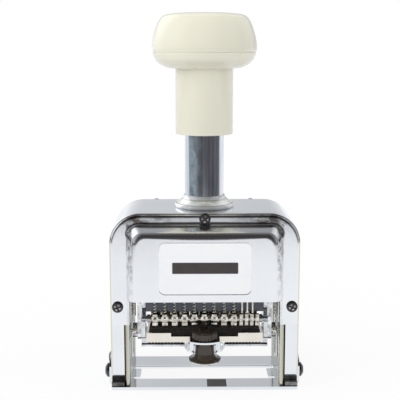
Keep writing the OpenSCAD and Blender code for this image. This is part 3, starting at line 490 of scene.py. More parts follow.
# The arch has a cream band painted as a warm reflection at its rounded outer edges, and the
# guide plates are painted browner and darker outwards, as warm reflection and shade.
FRAME_PAINTED_BANDS = [
    (33.0, (242, 244, 247)), (38.2, (240, 242, 246)), (38.55, (224, 219, 194)),
    (38.9, (230, 225, 200)), (38.97, (236, 238, 240)), (39.1, (236, 238, 240)),
]
# Guide plates: a warm reflection and darker shade towards the leg, painted as bands.
GUIDE_PAINTED_BANDS = [
    (30.8, (170, 170, 160)), (31.3, (214, 214, 206)), (32.4, (205, 200, 180)),
    (33.0, (150, 140, 118)), (33.4, (118, 104, 80)),
]


def make_node_looks():
    """Looks for the nodes whose finish differs from their slot's."""
    guide = banded_chrome("guide_steel", GUIDE_PAINTED_BANDS, (0.2, 0.32))
    worked = surface(
        "worked_nickel", (252, 253, 255), (128, 128, 130), 1.0, (0.06, 0.18),
        patch=420, grain=700, stretch=(1, 1, 0.4), bump=0.4, depth=0.00008,
    )
    NODE_LOOKS["column_tube"] = streaked_chrome()
    NODE_LOOKS["outer_frame"] = banded_chrome("frame_chrome", FRAME_PAINTED_BANDS, (0.05, 0.11))
    for side in ("left", "right"):
        NODE_LOOKS[f"guide_plate_{side}"] = guide
        NODE_LOOKS[f"pad_arm_{side}"] = worked
        NODE_LOOKS[f"carriage_plate_{side}"] = worked
    NODE_LOOKS["pad_tray"] = surface(
        "brushed_nickel", (240, 242, 244), (186, 187, 188), 1.0, (0.1, 0.22),
        patch=260, grain=1500, stretch=(0.3, 1, 1), bump=0.3, depth=0.00005,
    )
    NODE_LOOKS["column_collar"] = collar_chrome()
    NODE_LOOKS["foot_strips"] = surface(
        "glossy_black", (44, 41, 40), (150, 147, 144), 0.7, (0.08, 0.25),
        patch=260, grain=800, bump=0.7, depth=0.00012, coat=0.5,
    )


def dress_nodes():
    """Gives every CAD node its own look, or that of its slot in the record."""
    for part in frame["record"]["subparts"]:
        node = frame["nodes"][part["node"]]
        for slot in node.material_slots:
            slot.material = NODE_LOOKS.get(part["node"], LOOKS[part["material_slot"]])


# ---- Pieces beyond the CAD solids ----


def box_mm(node):
    """A node's lowest and highest corners, in millimetres."""
    return [Vector([round(v / MM, 3) for v in corner]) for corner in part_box(node)]


def new_piece(name, mesh, body, slot, material=None):
    """A piece that rides on a body, with the look of its slot or one of its own."""
    piece = bpy.data.objects.new(name, mesh)
    link(piece)
    mesh.materials.append(material or LOOKS[slot])
    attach(piece, body)
    return piece


def smooth(mesh, degrees):
    """Smooth shading, except over edges sharper than an angle."""
    for face in mesh.polygons:
        face.use_smooth = True
    mesh.set_sharp_from_angle(angle=math.radians(degrees))


def mesh_from(name, points, faces, rounded=True):
    """A mesh from points in metres."""
    mesh = bpy.data.meshes.new(name)
    mesh.from_pydata(points, [], faces)
    mesh.validate()
    mesh.update()
    for face in mesh.polygons:
        face.use_smooth = rounded
    return mesh


WHEELS = 9
WHEEL_LOW, WHEEL_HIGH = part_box("wheel_1")
WHEEL_Y = (WHEEL_LOW.y + WHEEL_HIGH.y) / 2
WHEEL_Z = (WHEEL_LOW.z + WHEEL_HIGH.z) / 2
WHEEL_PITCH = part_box("wheel_2")[0].x - WHEEL_LOW.x
# A wheel's type blocks begin this far into its share of the stack.
WHEEL_GAP = 0.1 * MM
TYPE_W = 2.5 * MM
TYPE_FACE = (WHEEL_HIGH.z - WHEEL_LOW.z) / 2 - 0.05 * MM
DIGITS = 10
DIGIT_SIZE = 4.6 * MM
DIGIT_W = 2.1 * MM
DIGIT_RAISE = 0.12 * MM
# The lowest block carries the first digit, and each wheel is turned on by three.
FIRST_TYPE = math.radians(-90)
WHEEL_TURN = 3


def share_middle(i):
    """X of the middle of a wheel's share of the stack, where its detent and spring are."""
    return WHEEL_LOW.x - WHEEL_GAP + WHEEL_PITCH * (i + 0.5)


def digit_shapes():
    """The ten digits as (points, faces), flat on XY, from Blender's own font."""
    shapes = []
    for number in range(DIGITS):
        curve = bpy.data.curves.new("digit", "FONT")
        curve.body = str(number)
        curve.size = DIGIT_SIZE
        curve.align_x = curve.align_y = "CENTER"
        curve.extrude = DIGIT_RAISE
        curve.resolution_u = 2
        holder = bpy.data.objects.new("digit", curve)
        link(holder)
        bpy.context.view_layer.update()
        ready = holder.evaluated_get(bpy.context.evaluated_depsgraph_get())
        mesh = ready.to_mesh()
        points = [v.co.copy() for v in mesh.vertices]
        low = Vector([min(p[i] for p in points) for i in range(3)])
        high = Vector([max(p[i] for p in points) for i in range(3)])
        middle = (low + high) / 2
        wide = min(1.0, DIGIT_W / (high.x - low.x))
        points = [Vector(((p.x - middle.x) * wide, p.y - middle.y, p.z)) for p in points]
        shapes.append((points, [tuple(f.vertices) for f in mesh.polygons]))
        ready.to_mesh_clear()
        bpy.data.objects.remove(holder)
        bpy.data.curves.remove(curve)
    return shapes


def make_type():
    """Raised mirror-image digits on the ten type blocks of each wheel."""
    shapes = digit_shapes()
    for i in range(WHEELS):
        points, faces = [], []
        centre_x = WHEEL_LOW.x + WHEEL_PITCH * i + TYPE_W / 2
        for k in range(DIGITS):
            a = 2 * math.pi * k / DIGITS + FIRST_TYPE
            out = Vector((0, math.cos(a), math.sin(a)))
            up = Vector((0, -math.sin(a), math.cos(a)))
            base = Vector((centre_x, WHEEL_Y, WHEEL_Z)) + out * (TYPE_FACE + DIGIT_RAISE)
            shape, sides = shapes[(k + WHEEL_TURN * i) % DIGITS]
            start = len(points)
            points += [base + Vector((p.x, 0, 0)) + up * p.y + out * p.z for p in shape]
            faces += [tuple(start + v for v in reversed(side)) for side in sides]
        mesh = mesh_from(f"type_digits_{i + 1}", points, faces, rounded=False)
        new_piece(f"type_digits_{i + 1}", mesh, f"wheel_body_{i + 1}", "wheel_brass")


# End turns of a spring lie this many wire thicknesses apart.
CLOSED_PITCH = 1.04


def coil_points(x, y, low, high, r, wire, turns, dead, rings):
    """Centre line of a compression spring whose end turns lie closed."""
    length = high - low - wire
    closed = dead * wire * CLOSED_PITCH
    free = (length - 2 * closed) / (turns - 2 * dead)
    line = []
    for n in range(int(turns * rings) + 1):
        t = n / rings
        if t < dead:
            z = closed * t / dead
        elif t > turns - dead:
            z = length - closed * (turns - t) / dead
        else:
            z = closed + free * (t - dead)
        a = 2 * math.pi * t
        line.append(Vector((x + r * math.cos(a), y + r * math.sin(a), low + wire / 2 + z)))
    return line


def tube(line, radius, sides, points, faces):
    """Adds a round tube with closed ends along a line."""
    start = len(points)
    for n, here in enumerate(line):
        ahead = line[min(n + 1, len(line) - 1)] - line[max(n - 1, 0)]
        ahead.normalize()
        across = ahead.cross(Vector((0, 0, 1)))
        if across.length < 1e-6:
            across = Vector((1, 0, 0))
        across.normalize()
        over = across.cross(ahead)
        for k in range(sides):
            a = 2 * math.pi * k / sides
            points.append(here + (across * math.cos(a) + over * math.sin(a)) * radius)
    for n in range(len(line) - 1):
        for k in range(sides):
            a = start + n * sides + k
            b = start + n * sides + (k + 1) % sides
            faces.append((a, b, b + sides, a + sides))
    faces.append(tuple(start + k for k in reversed(range(sides))))
    last = start + (len(line) - 1) * sides
    faces.append(tuple(last + k for k in range(sides)))


DETENT_WIRE = 0.4 * MM
DETENT_TURNS, DETENT_DEAD = 6.5, 0.75
RETURN_WIRE = 1.2 * MM
RETURN_TURNS, RETURN_DEAD = 12, 1


def make_coils():
    """The nine small springs over the detents."""
    low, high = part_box("detent_springs")
    r = (high.y - low.y - DETENT_WIRE) / 2
    points, faces = [], []
    for i in range(WHEELS):
        line = coil_points(
            share_middle(i), (low.y + high.y) / 2, low.z, high.z, r, DETENT_WIRE,
            DETENT_TURNS, DETENT_DEAD, 16,
        )
        tube(line, DETENT_WIRE / 2, 8, points, faces)
    mesh = mesh_from("detent_coils", points, faces)
    coils = new_piece("detent_coils", mesh, "plunger", "spring_steel")
    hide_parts("detent_springs")


def make_return_spring():
    """The column's spring, a coil at rest on the frame; on the machine its turns close up as the
    handle goes down.
    """
    low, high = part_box("return_spring")
    r = (high.x - low.x - RETURN_WIRE) / 2
    points, faces = [], []
    line = coil_points(0, 0, low.z, high.z, r, RETURN_WIRE, RETURN_TURNS, RETURN_DEAD, 24)
    tube(line, RETURN_WIRE / 2, 10, points, faces)
    mesh = mesh_from("return_coil", points, faces)
    coil = new_piece("return_coil", mesh, "frame", "spring_steel")
    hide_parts("return_spring")
    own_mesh(coil)


FELT_COLUMNS, FELT_ROWS = 90, 30
FELT_SOFT = 0.5 * MM
FELT_NAP = 0.12 * MM
FELT_PULL = 0.15 * MM


def make_felt():
    """Felt block with a soft edge and an uneven nap."""
    low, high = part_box("ink_pad")
    rng = random.Random(7)
    columns, rows = FELT_COLUMNS, FELT_ROWS
    points, faces = [], []
    size = high - low
    for layer in range(2):
        for j in range(rows + 1):
            for i in range(columns + 1):
                x = low.x + size.x * i / columns
                y = low.y + size.y * j / rows
                z = low.z
                edge = min(i, j, columns - i, rows - j)
                if layer:
                    drop = FELT_SOFT * max(0.0, 1 - edge / 2) ** 2
                    z = high.z - drop - rng.random() * FELT_NAP
                    x += FELT_PULL * ((i == 0) - (i == columns))
                    y += FELT_PULL * ((j == 0) - (j == rows))
                points.append(Vector((x, y, z)))
    row = columns + 1
    top = row * (rows + 1)
    for j in range(rows):
        for i in range(columns):
            a = j * row + i
            faces.append((a, a + row, a + row + 1, a + 1))
            faces.append((top + a, top + a + 1, top + a + row + 1, top + a + row))
    for i in range(columns):
        a, b = i, rows * row + i
        faces.append((a, a + 1, top + a + 1, top + a))
        faces.append((b + 1, b, top + b, top + b + 1))
    for j in range(rows):
        a, b = j * row, j * row + columns
        faces.append((a + row, a, top + a, top + a + row))
        faces.append((b, b + row, top + b + row, top + b))
    felt = new_piece("felt_block", mesh_from("felt_block", points, faces), "cassette", "ink_felt")
    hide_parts("ink_pad")


# ---- Pressed covers, with round bends ----

COVER_LOW, COVER_HIGH = box_mm("front_cover")
FRAME_LOW, FRAME_HIGH = box_mm("outer_frame")
LABEL_LOW, LABEL_HIGH = box_mm("label_plate")
# How far the sheet stands out from the arch, the metal's own thickness, and the roll of
# its outer edge.
SHEET_T = 1.0
SHEET_WALL = 0.75
SHEET_ROLL = 0.9
# The sheet's outline: half width, top and corner radius, and the flat beside the box.
SHEET_HALF, SHEET_TOP, SHEET_R = 38.4, 74.5, 12
FLANGE_TAB = 31.0
# The raised box: lower edge, tops at the front and rear, outline where it leaves the
# sheet, and its face, which is narrower at the top.
BOX_LOW = 40.0
BOX_DEEP = COVER_HIGH.y - COVER_LOW.y - SHEET_T
BOX_TOP_FRONT, BOX_TOP_REAR = 70.7, 66.7
BOX_HALF, BOX_R = 31.9, 5
FACE_HALF_LOW, FACE_HALF_TOP, FACE_R = 30.6, 28.9, 4.4
SLOPE_RUN = 3.0
BEND_OUT, BEND_IN = 1.3, 3.2
# Flats beside a bend stay flat up to a loop of points this far from it.
FLAT_LOOP = 0.4
# The label's recess is this much wider and higher than the label.
RECESS_PLAY = 0.6
RECESS_R = 2.8
RECESS_DEEP = 0.5


def arch_outline(low_half, top_half, low, top, r, side=16, turn=14, across=12):
    """Points (x, z) of an arch from its lower left end over the top to its lower right."""
    foot = Vector((-low_half, low))
    centre = Vector((r - top_half, top - r))
    way = centre - foot
    lean = math.atan2(way.y, way.x) + math.asin(r / way.length)
    run = math.sqrt(way.length_squared - r * r)
    touch = foot + Vector((math.cos(lean), math.sin(lean))) * run
    first = math.atan2(touch.y - centre.y, touch.x - centre.x) % (2 * math.pi)
    left = [foot.lerp(touch, k / side) for k in range(side)]
    for k in range(turn):
        a = first + (math.pi / 2 - first) * k / turn
        left.append(centre + Vector((math.cos(a), math.sin(a))) * r)
    left += [Vector((centre.x * (1 - k / across), top)) for k in range(across)]
    return left + [Vector((0, top))] + [Vector((-p.x, p.y)) for p in reversed(left)]


class Sheet:
    """Collects a pressed sheet's points, given as (x, z) and a height over its back."""

    def __init__(self, back, facing):
        self.back, self.facing = back, facing
        self.points, self.faces = [], []

    def row(self, line, height):
        """A line of points at one height, or each at its own, and their numbers."""
        start = len(self.points)
        heights = height if isinstance(height, list) else [height] * len(line)
        for p, h in zip(line, heights):
            self.points.append(mm(p.x, self.back + self.facing * h, p.y))
        return list(range(start, start + len(line)))

    def face(self, corners):
        self.faces.append(tuple(corners if self.facing < 0 else reversed(corners)))

    def loft(self, rows):
        """Fills the strips between rows of equal length."""
        for a, b in zip(rows, rows[1:]):
            for i in range(len(a) - 1):
                self.face((a[i], b[i], b[i + 1], a[i + 1]))


def bends(p, q, deep, outer_r, inner_r):
    """The bent line from a flange at p over a slope to a face at q, as (offsets, heights)."""
    inward = (q - p).normalized()
    slope = math.atan2(deep, (q - p).length)
    half = math.tan(slope / 2)
    low, high = SHEET_T, SHEET_T + deep
    line = [(p - inward * (outer_r * half + FLAT_LOOP), low)]
    for k in range(9):
        a = slope * k / 8
        line.append(
            (p - inward * (outer_r * (half - math.sin(a))), low + outer_r * (1 - math.cos(a)))
        )
    ends = []
    for k in range(11):
        a = slope * (1 - k / 10)
        ends.append(
            (q - inward * (inner_r * (math.sin(a) - half)), high - inner_r * (1 - math.cos(a)))
        )
    (start, rise), (stop, top) = line[-1], ends[0]
    for k in (1, 2, 3):
        line.append((start.lerp(stop, k / 4), rise + (top - rise) * k / 4))
    return line + ends + [(q + inward * (inner_r * half + FLAT_LOOP), high)]


def solid(mesh, thick=None, cuts=(), soft=0.0):
    """Thickens a mesh inwards, cuts other meshes out of it, and rounds its sharp edges."""
    holder = bpy.data.objects.new("holder", mesh)
    link(holder)
    if thick:
        wall = holder.modifiers.new("wall", "SOLIDIFY")
        wall.thickness, wall.offset, wall.use_even_offset = thick, -1, True
    tools = []
    for cut in cuts:
        tool = bpy.data.objects.new("tool", cut)
        link(tool)
        tools.append(tool)
        bite = holder.modifiers.new("bite", "BOOLEAN")
        bite.operation, bite.solver, bite.object = "DIFFERENCE", "EXACT", tool
    if soft:
        edge = holder.modifiers.new("edge", "BEVEL")
        edge.width, edge.segments, edge.limit_method = soft, 2, "ANGLE"
        edge.angle_limit = math.radians(32)
    bpy.context.view_layer.update()
    ready = holder.evaluated_get(bpy.context.evaluated_depsgraph_get())
    made = bpy.data.meshes.new_from_object(ready)
    made.name = mesh.name
    for spare in [holder] + tools:
        old = spare.data
        bpy.data.objects.remove(spare)
        bpy.data.meshes.remove(old)
    smooth(made, 32)
    return made


def prism(name, outline, at, along):
    """A closed mesh from a flat outline of corners, moved by a vector."""
    points = [Vector(p) + at for p in outline]
    count = len(points)
    points += [p + along for p in points]
    faces = [tuple(range(count)), tuple(reversed(range(count, 2 * count)))]
    faces += [(i, i + count, (i + 1) % count + count, (i + 1) % count) for i in range(count)]
    mesh = mesh_from(name, points, faces, rounded=False)
    shape = bmesh.new()
    shape.from_mesh(mesh)
    bmesh.ops.recalc_face_normals(shape, faces=shape.faces)
    shape.to_mesh(mesh)
    shape.free()
    return mesh


def round_outline(w, h, r, steps=8):
    """Corners of a rectangle with round corners, counter-clockwise, as (u, v)."""
    line = []
    for k, (x, y) in enumerate(((1, 1), (-1, 1), (-1, -1), (1, -1))):
        for n in range(steps + 1):
            a = math.pi / 2 * (k + n / steps)
            line.append((x * (w / 2 - r) + r * math.cos(a), y * (h / 2 - r) + r * math.sin(a)))
    return line


def upright(w, h, r, steps=8):
    """The same rectangle standing across Y, in metres."""
    return [(x * MM, 0, z * MM) for x, z in round_outline(w, h, r, steps)]


def level(w, d, r, steps=8):
    """The same rectangle lying flat, in metres."""
    return [(x * MM, y * MM, 0) for x, y in round_outline(w, d, r, steps)]


def make_cover(name, node, back, facing, box_top, recess):
    """A pressed sheet with a rolled edge, a raised box and, in front, the label's recess."""
    sheet = Sheet(back, facing)
    foot = SHEET_T - SHEET_ROLL
    edge = [(0.0, 0.0), (0.0, foot)]
    for k in range(1, 7):
        a = math.pi / 2 * k / 6
        edge.append((SHEET_ROLL * (1 - math.cos(a)), foot + SHEET_ROLL * math.sin(a)))
    edge.append((SHEET_ROLL + FLAT_LOOP, SHEET_T))
    rim = [
        sheet.row(
            arch_outline(SHEET_HALF - i, SHEET_HALF - i, COVER_LOW.z, SHEET_TOP - i, SHEET_R - i),
            h,
        )
        for i, h in edge
    ]
    sheet.loft(rim)
    outer = arch_outline(BOX_HALF, BOX_HALF, BOX_LOW, box_top, BOX_R)
    inner = arch_outline(FACE_HALF_LOW, FACE_HALF_TOP, BOX_LOW, box_top - SLOPE_RUN, FACE_R)
    lines = [bends(p, q, BOX_DEEP, BEND_OUT, BEND_IN) for p, q in zip(outer, inner)]
    box = [
        sheet.row([line[k][0] for line in lines], [line[k][1] for line in lines])
        for k in range(len(lines[0]))
    ]
    sheet.loft(box)
    tab = [Vector((-FLANGE_TAB, COVER_LOW.z)), Vector((-FLANGE_TAB, BOX_LOW))]
    left = sheet.row(tab, SHEET_T)
    right = sheet.row([Vector((-p.x, p.y)) for p in reversed(tab)], SHEET_T)
    sheet.face(list(reversed(rim[-1])) + left + box[0] + right)
    sheet.face(list(reversed(box[-1])))
    mesh = mesh_from(name, sheet.points, sheet.faces)
    cuts = []
    if recess:
        size = LABEL_HIGH - LABEL_LOW
        face_y = back + facing * (SHEET_T + BOX_DEEP - RECESS_DEEP)
        middle_z = (LABEL_LOW.z + LABEL_HIGH.z) / 2
        corners = upright(size.x + RECESS_PLAY, size.z + RECESS_PLAY, RECESS_R)
        at = mm(0, face_y, middle_z)
        cuts.append(prism("recess", corners, at, mm(0, facing * 2, 0)))
    piece = new_piece(name, solid(mesh, SHEET_WALL * MM, cuts), "frame", "chromed_sheet")
    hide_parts(node)


def make_covers():
    make_cover("front_cover_sheet", "front_cover", FRAME_LOW.y, -1, BOX_TOP_FRONT, True)
    make_cover("rear_cover_sheet", "rear_cover", FRAME_HIGH.y, 1, BOX_TOP_REAR, False)


# ---- Nodes whose sharp edges are broken ----

EDGE_BREAK = 0.12 * MM
LATCH_BREAK = 0.08 * MM


def soften(name, body, width):
    """A copy of a CAD node whose sharp edges are rounded, standing for the node."""
    node = frame["nodes"][name]
    mesh = node.data.copy()
    mesh.transform(node.matrix_world)
    shape = bmesh.new()
    shape.from_mesh(mesh)
    bmesh.ops.remove_doubles(shape, verts=shape.verts, dist=0.000002)
    bmesh.ops.dissolve_limit(
        shape, angle_limit=math.radians(0.6), verts=shape.verts, edges=shape.edges
    )
    edges = [
        e for e in shape.edges
        if len(e.link_faces) == 2 and e.calc_face_angle(0) > math.radians(35)
    ]
    bmesh.ops.bevel(
        shape, geom=edges, offset=width, offset_type="OFFSET", segments=2, profile=0.5,
        affect="EDGES", clamp_overlap=True,
    )
    shape.to_mesh(mesh)
    shape.free()
    smooth(mesh, 20)
    own = mesh.materials[0]
    mesh.materials.clear()
    slot = next(p["material_slot"] for p in frame["record"]["subparts"] if p["node"] == name)
    piece = new_piece(name + "_rounded", mesh, body, slot, own)
    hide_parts(name)


def make_rounded():
    """The detents, screws, strips and bracket, with light along their edges."""
    for i in range(WHEELS):
        soften(f"detent_{i + 1}", f"detent_body_{i + 1}", EDGE_BREAK)
    for name in ("base_screws", "foot_strips", "rear_cover_screws"):
        soften(name, "frame", EDGE_BREAK)
    soften("latch_bracket", "cassette", LATCH_BREAK)


# ---- Turned pieces ----


def turned(name, profile, steps=128):
    """A closed body turned about the vertical axis from an outline of (radius, height)."""
    points, rings, faces = [], [], []
    for r, z in profile:
        if r < 0.001:
            rings.append([len(points)] * steps)
            points.append(mm(0, 0, z))
            continue
        rings.append(list(range(len(points), len(points) + steps)))
        for k in range(steps):
            a = 2 * math.pi * k / steps
            points.append(mm(r * math.cos(a), r * math.sin(a), z))
    for a, b in zip(rings, rings[1:] + rings[:1]):
        for k in range(steps):
            n = (k + 1) % steps
            corners = list(dict.fromkeys((a[k], a[n], b[n], b[k])))
            if len(corners) > 2:
                faces.append(tuple(corners))
    mesh = mesh_from(name, points, faces)
    smooth(mesh, 35)
    return mesh


def smooth_line(stops, steps=5):
    """Points of a smooth curve through the stops."""
    line = []
    for k in range(len(stops) - 1):
        a, b = Vector(stops[max(k - 1, 0)]), Vector(stops[k])
        c, d = Vector(stops[k + 1]), Vector(stops[min(k + 2, len(stops) - 1)])
        for n in range(steps):
            u = n / steps
            line.append(tuple(
                0.5 * (2 * b + (c - a) * u + (2 * a - 5 * b + 4 * c - d) * u * u
                       + (3 * b - a - 3 * c + d) * u * u * u)
            ))
    return line + [tuple(stops[-1])]


# Outlines as (radius, height), which follow the handle's edge in the photograph.
KNOB_SHOULDER = [
    (21.42, 139.45), (21.62, 140.6), (21.62, 142.0), (21.45, 143.6), (21.12, 145.4),
    (20.6, 147.4), (20.0, 149.2), (19.35, 150.8), (18.6, 152.2), (17.6, 153.5),
    (16.2, 154.3), (14.2, 154.7), (10.5, 155.0), (5.5, 155.22), (0.0, 155.3),
]
KNOB_FOOT = [(8.3, 139.2), (21.2, 139.2)]
KNOB_INSIDE = [(0.0, 153.5), (3.05, 153.5), (3.05, 150.6), (8.3, 150.6)]
HANDLE_BELLY = [
    (12.35, 132.65), (14.0, 132.75), (15.8, 133.1), (17.6, 133.95), (19.1, 135.05),
    (20.3, 136.4), (21.0, 137.8), (21.36, 138.9),
]
HANDLE_NECK = [
    (8.6, 105.7), (11.6, 105.7), (11.88, 105.82), (12.0, 106.1), (12.0, 132.2), (12.1, 132.5),
]
HANDLE_SEAM = [(21.15, 139.18), (8.6, 139.18)]


def make_handle():
    """The knob's cap and the neck with the knob's lower half, with full round outlines."""
    for name, node, outline in (
        ("knob_cap_turned", "knob_cap", KNOB_FOOT + smooth_line(KNOB_SHOULDER) + KNOB_INSIDE),
        ("handle_turned", "handle_body", HANDLE_NECK + smooth_line(HANDLE_BELLY) + HANDLE_SEAM),
    ):
        piece = new_piece(name, turned(name, outline), "plunger", "cream_plastic")
        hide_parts(node)


# The collar's disc, its flare and the ring round the tube.
COLLAR_DISC = [
    (8.27, 75.02), (12.3, 75.02), (12.5, 75.2), (12.55, 75.6), (12.5, 76.1), (12.3, 76.45),
]
COLLAR_FLARE = [
    (12.15, 76.7), (11.3, 77.15), (10.3, 77.8), (9.5, 78.55), (8.95, 79.3), (8.65, 80.1),
]
COLLAR_RING = [(8.5, 80.2), (8.27, 80.2)]


def make_collar():
    """The column's foot: a disc with a trumpet-shaped flare up to the tube."""
    mesh = turned("collar_turned", COLLAR_DISC + smooth_line(COLLAR_FLARE) + COLLAR_RING)
    piece = new_piece("collar_turned", mesh, "frame", "chrome", NODE_LOOKS["column_collar"])
    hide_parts("column_collar")


def merged(name, meshes):
    """One mesh of several, smooth but for its edges."""
    shape = bmesh.new()
    for mesh in meshes:
        shape.from_mesh(mesh)
        bpy.data.meshes.remove(mesh)
    made = bpy.data.meshes.new(name)
    shape.to_mesh(made)
    shape.free()
    smooth(made, 40)
    return made


# X, Z and turn of the cross, in degrees, of the front cover's three screws.
SCREWS = [(0, 73.0, 38), (-35.8, 36.2, 20), (35.8, 36.2, 65)]
# Shank and head as (radius, height over the sheet): the shank, then the head's rounded
# edge about EDGE_AT, then its flat top.
SHANK = [(0.0, -6.0), (1.2, -6.0), (1.2, 0.0), (2.35, 0.0)]
EDGE_AT, EDGE_R, EDGE_H = (1.75, 0.35), 0.6, 0.7
HEAD_TOP = [(1.35, 1.12), (1.0, 1.16), (0.6, 1.19), (0.0, 1.2)]
CROSS_LONG, CROSS_WIDE, CROSS_FLOOR = 3.3, 0.8, 0.5
CROSS_REACH = 1.72
GLINT_REACH = (0.5, 1.5)


def screw_mesh(at, turn):
    """A pan-head screw with its cross recess, its head towards -Y."""
    (r, z), profile = EDGE_AT, list(SHANK)
    for k in range(9):
        a = math.pi / 2 * k / 8
        profile.append((r + EDGE_R * math.cos(a), z + EDGE_H * math.sin(a)))
    cuts = []
    for a in (turn, turn + math.pi / 2):
        spin = Matrix.Rotation(a, 4, "Z")
        bar = [spin @ Vector(corner) for corner in level(CROSS_LONG, CROSS_WIDE, 0.1, 2)]
        cuts.append(prism("cross", bar, mm(0, 0, CROSS_FLOOR), mm(0, 0, 2)))
    mesh = solid(turned("screw", profile + HEAD_TOP, 48), None, cuts, 0.09 * MM)
    mesh.transform(Matrix.Translation(mm(*at)) @ Matrix.Rotation(math.pi / 2, 4, "X"))
    return mesh


def make_screws():
    """The front cover's screws: black, with a recess painted darker as shade between quarters
    painted brighter as glints.
    """
    sheet_y = FRAME_LOW.y - SHEET_T
    screws = [screw_mesh((x, sheet_y, z), math.radians(turn)) for x, z, turn in SCREWS]
    mesh = merged("cover_screws_turned", screws)
    piece = new_piece("cover_screws_turned", mesh, "frame", "black_oxide")
    mesh.materials.append(LOOKS["label_ink"])
    mesh.materials.append(LOOKS["steel"])
    for face in mesh.polygons:
        middle = face.center / MM
        reach = min(math.hypot(middle.x - x, middle.z - z) for x, z, _ in SCREWS)
        out = sheet_y - middle.y
        # The recess walls and floor: shade painted black.
        if reach < CROSS_REACH and 0.4 < out < 1.12:
            face.material_index = 1
        # The head's quarters between the arms: glints painted in bright steel.
        elif GLINT_REACH[0] < reach < GLINT_REACH[1] and out > 1.1:
            face.material_index = 2
    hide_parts("front_cover_screws")


# ---- Small things that the scene adds ----

LABEL_BAR, LABEL_BAR_Z = (26.4, 4.6, 0.25), 54.1
# The bar's front stands this far before the cover's box.
BAR_PROUD, BAR_T = 0.04, 0.2
# The window's end tabs, their holes and the dark mark, each as a size and a place.
TAB_SIZE, TAB_AT, TAB_T = (4.6, 9.8, 1.1), (29.9, -1, 0.03), 0.9
HOLE_R, HOLE_AT = 0.45, (28.7, 2.2, -1)
MARK_SIZE, MARK_AT, MARK_T = (8.2, 8.2, 0.3), (5.1, -13.9, 1.2), 0.13


def make_label_bar():
    """The label's printed panel, left as a plain dark bar."""
    at = mm(0, COVER_LOW.y - BAR_PROUD, LABEL_BAR_Z)
    bar = prism("label_bar", upright(*LABEL_BAR, 3), at, mm(0, BAR_T, 0))
    new_piece("label_bar", bar, "frame", "black_rubber", LOOKS["label_ink"])


def make_base_details():
    """Broad aligning tabs at the window's ends, each with a small hole, and a dark mark."""
    angles = [math.pi * k / 8 for k in range(16)]
    ring = [mm(HOLE_R * math.cos(a), HOLE_R * math.sin(a), 0) for a in angles]
    for side, name in ((-1, "left"), (1, "right")):
        tab_at, hole_at = (mm(side * x, y, z) for x, y, z in (TAB_AT, HOLE_AT))
        tab = prism("tab", level(*TAB_SIZE), tab_at, mm(0, 0, TAB_T))
        hole = prism("hole", ring, hole_at, mm(0, 0, 3))
        new_piece(f"window_tab_{name}", solid(tab, None, [hole]), "frame", "chrome")
    mark = prism("mark", level(*MARK_SIZE, 3), mm(*MARK_AT), mm(0, 0, MARK_T))
    new_piece("base_mark", mark, "frame", "black_rubber", LOOKS["label_ink"])


EYELET_R, EYELET_WIRE_R = 1.0, 0.36
EYELET_Y, EYELET_Z = -16.3 * MM, 30.5 * MM


def make_eyelets():
    """A bright eyelet in the head of each detent."""
    angles = [2 * math.pi * k / 12 for k in range(12)]
    profile = [
        (EYELET_R + EYELET_WIRE_R * math.cos(a), EYELET_WIRE_R * math.sin(a)) for a in angles
    ]
    for i in range(WHEELS):
        ring = turned("eyelet", profile, 32)
        at = Vector((share_middle(i), EYELET_Y, EYELET_Z))
        ring.transform(Matrix.Translation(at) @ Matrix.Rotation(math.pi / 2, 4, "X"))
        new_piece(
            f"eyelet_{i + 1}", ring, f"detent_body_{i + 1}", "nickel", LOOKS["bright_nickel"]
        )


# The side springs: place, height of the coil, radius, wire, and the hooks' points as
# (shift in x, height). The rollers: outline as (radius, height) and place.
SIDE_X, SIDE_Y = 29.55, -14.3
SIDE_COIL = (31.2, 37.4)
SIDE_COIL_R, SIDE_WIRE = 0.78, 0.42
SIDE_TURNS = 9.5
HOOK_LOW = [(0, 29.0), (0, 30.2), (0.4, 30.9)]
HOOK_HIGH = [(0.4, 38.1), (0, 38.8), (0, 39.8)]
ROLLER = [
    (0.0, 0.0), (0.8, 0.0), (0.8, 0.25), (1.65, 0.25), (1.85, 0.45), (1.85, 0.75),
    (1.35, 1.0), (1.35, 1.2), (1.85, 1.4), (1.85, 1.7), (1.65, 1.9), (0.95, 1.9),
    (0.8, 2.1), (0.0, 2.15),
]
ROLLER_AT = (28.22, -13.0, 24.3)


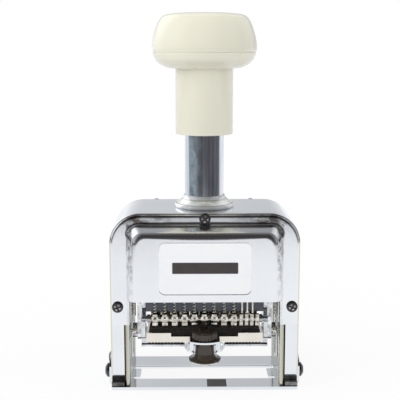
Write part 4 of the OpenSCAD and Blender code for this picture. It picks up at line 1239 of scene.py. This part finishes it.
def make_side_works():
    """At each side: a small tension spring with its hooks, and a roller on the pad's arm."""
    for side, name in ((-1, "left"), (1, "right")):
        x, y = side * SIDE_X * MM, SIDE_Y * MM
        low, high = (z * MM for z in SIDE_COIL)
        coil = coil_points(x, y, low, high, SIDE_COIL_R * MM, SIDE_WIRE * MM, SIDE_TURNS, 0.5, 16)
        foot, head = (
            [Vector((x + shift * MM, y, z * MM)) for shift, z in hook]
            for hook in (HOOK_LOW, HOOK_HIGH)
        )
        points, faces = [], []
        tube(foot + coil + head, SIDE_WIRE / 2 * MM, 8, points, faces)
        spring = mesh_from("side_spring", points, faces)
        new_piece(
            f"side_spring_{name}", spring, "plunger", "spring_steel", LOOKS["bright_nickel"]
        )
        roller = turned("roller", ROLLER, 40)
        turn = Matrix.Rotation(side * math.pi / 2, 4, "Y")
        x, y, z = ROLLER_AT
        roller.transform(Matrix.Translation(mm(side * x, y, z)) @ turn)
        new_piece(f"arm_roller_{name}", roller, "pad", "chrome", LOOKS["bright_nickel"])


LATCH_RIM = [
    (6.3, 12.42), (6.6, 12.42), (6.78, 12.6), (6.8, 12.95), (6.7, 13.15), (6.3, 13.15),
]


def make_latch_rim():
    """The bright ferrule round the latch knob's lower edge."""
    low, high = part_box("latch_knob")
    ring = turned("latch_rim", LATCH_RIM, 64)
    ring.transform(Matrix.Translation(Vector((0, (low.y + high.y) / 2, 0))))
    new_piece("latch_rim", ring, "latch", "black_plastic", LOOKS["bright_nickel"])


# Dark bars painted as the shade in the slots under the tray's front edge: size, first place and
# pitch.
LIP_SLOTS = 11
LIP_SLOT = (0.85, 0.85, 0.15)
LIP_AT, LIP_PITCH = (9.6, -11.43, 18.3), 1.36


def make_lip_slots():
    """Dark bars painted as the shade in the openings between the ribs under the tray's front edge.
    """
    bars = []
    first, y, z = LIP_AT
    for side in (-1, 1):
        for k in range(LIP_SLOTS):
            at = mm(side * (first + LIP_PITCH * k), y, z)
            bars.append(prism("slot", upright(*LIP_SLOT, 3), at, mm(0, 0.3, 0)))
    new_piece("lip_slot_shade", merged("lip_slot_shade", bars), "pad", "pale_tray", LOOKS["label_ink"])


make_camera()
make_lights()
make_floor()
make_looks()
make_node_looks()
dress_nodes()
make_type()
make_coils()
make_return_spring()
make_felt()
make_covers()
make_rounded()
make_handle()
make_screws()
make_collar()
make_label_bar()
make_base_details()
make_eyelets()
make_latch_rim()
make_lip_slots()
make_side_works()

bpy.context.scene.view_settings.view_transform = "Standard"
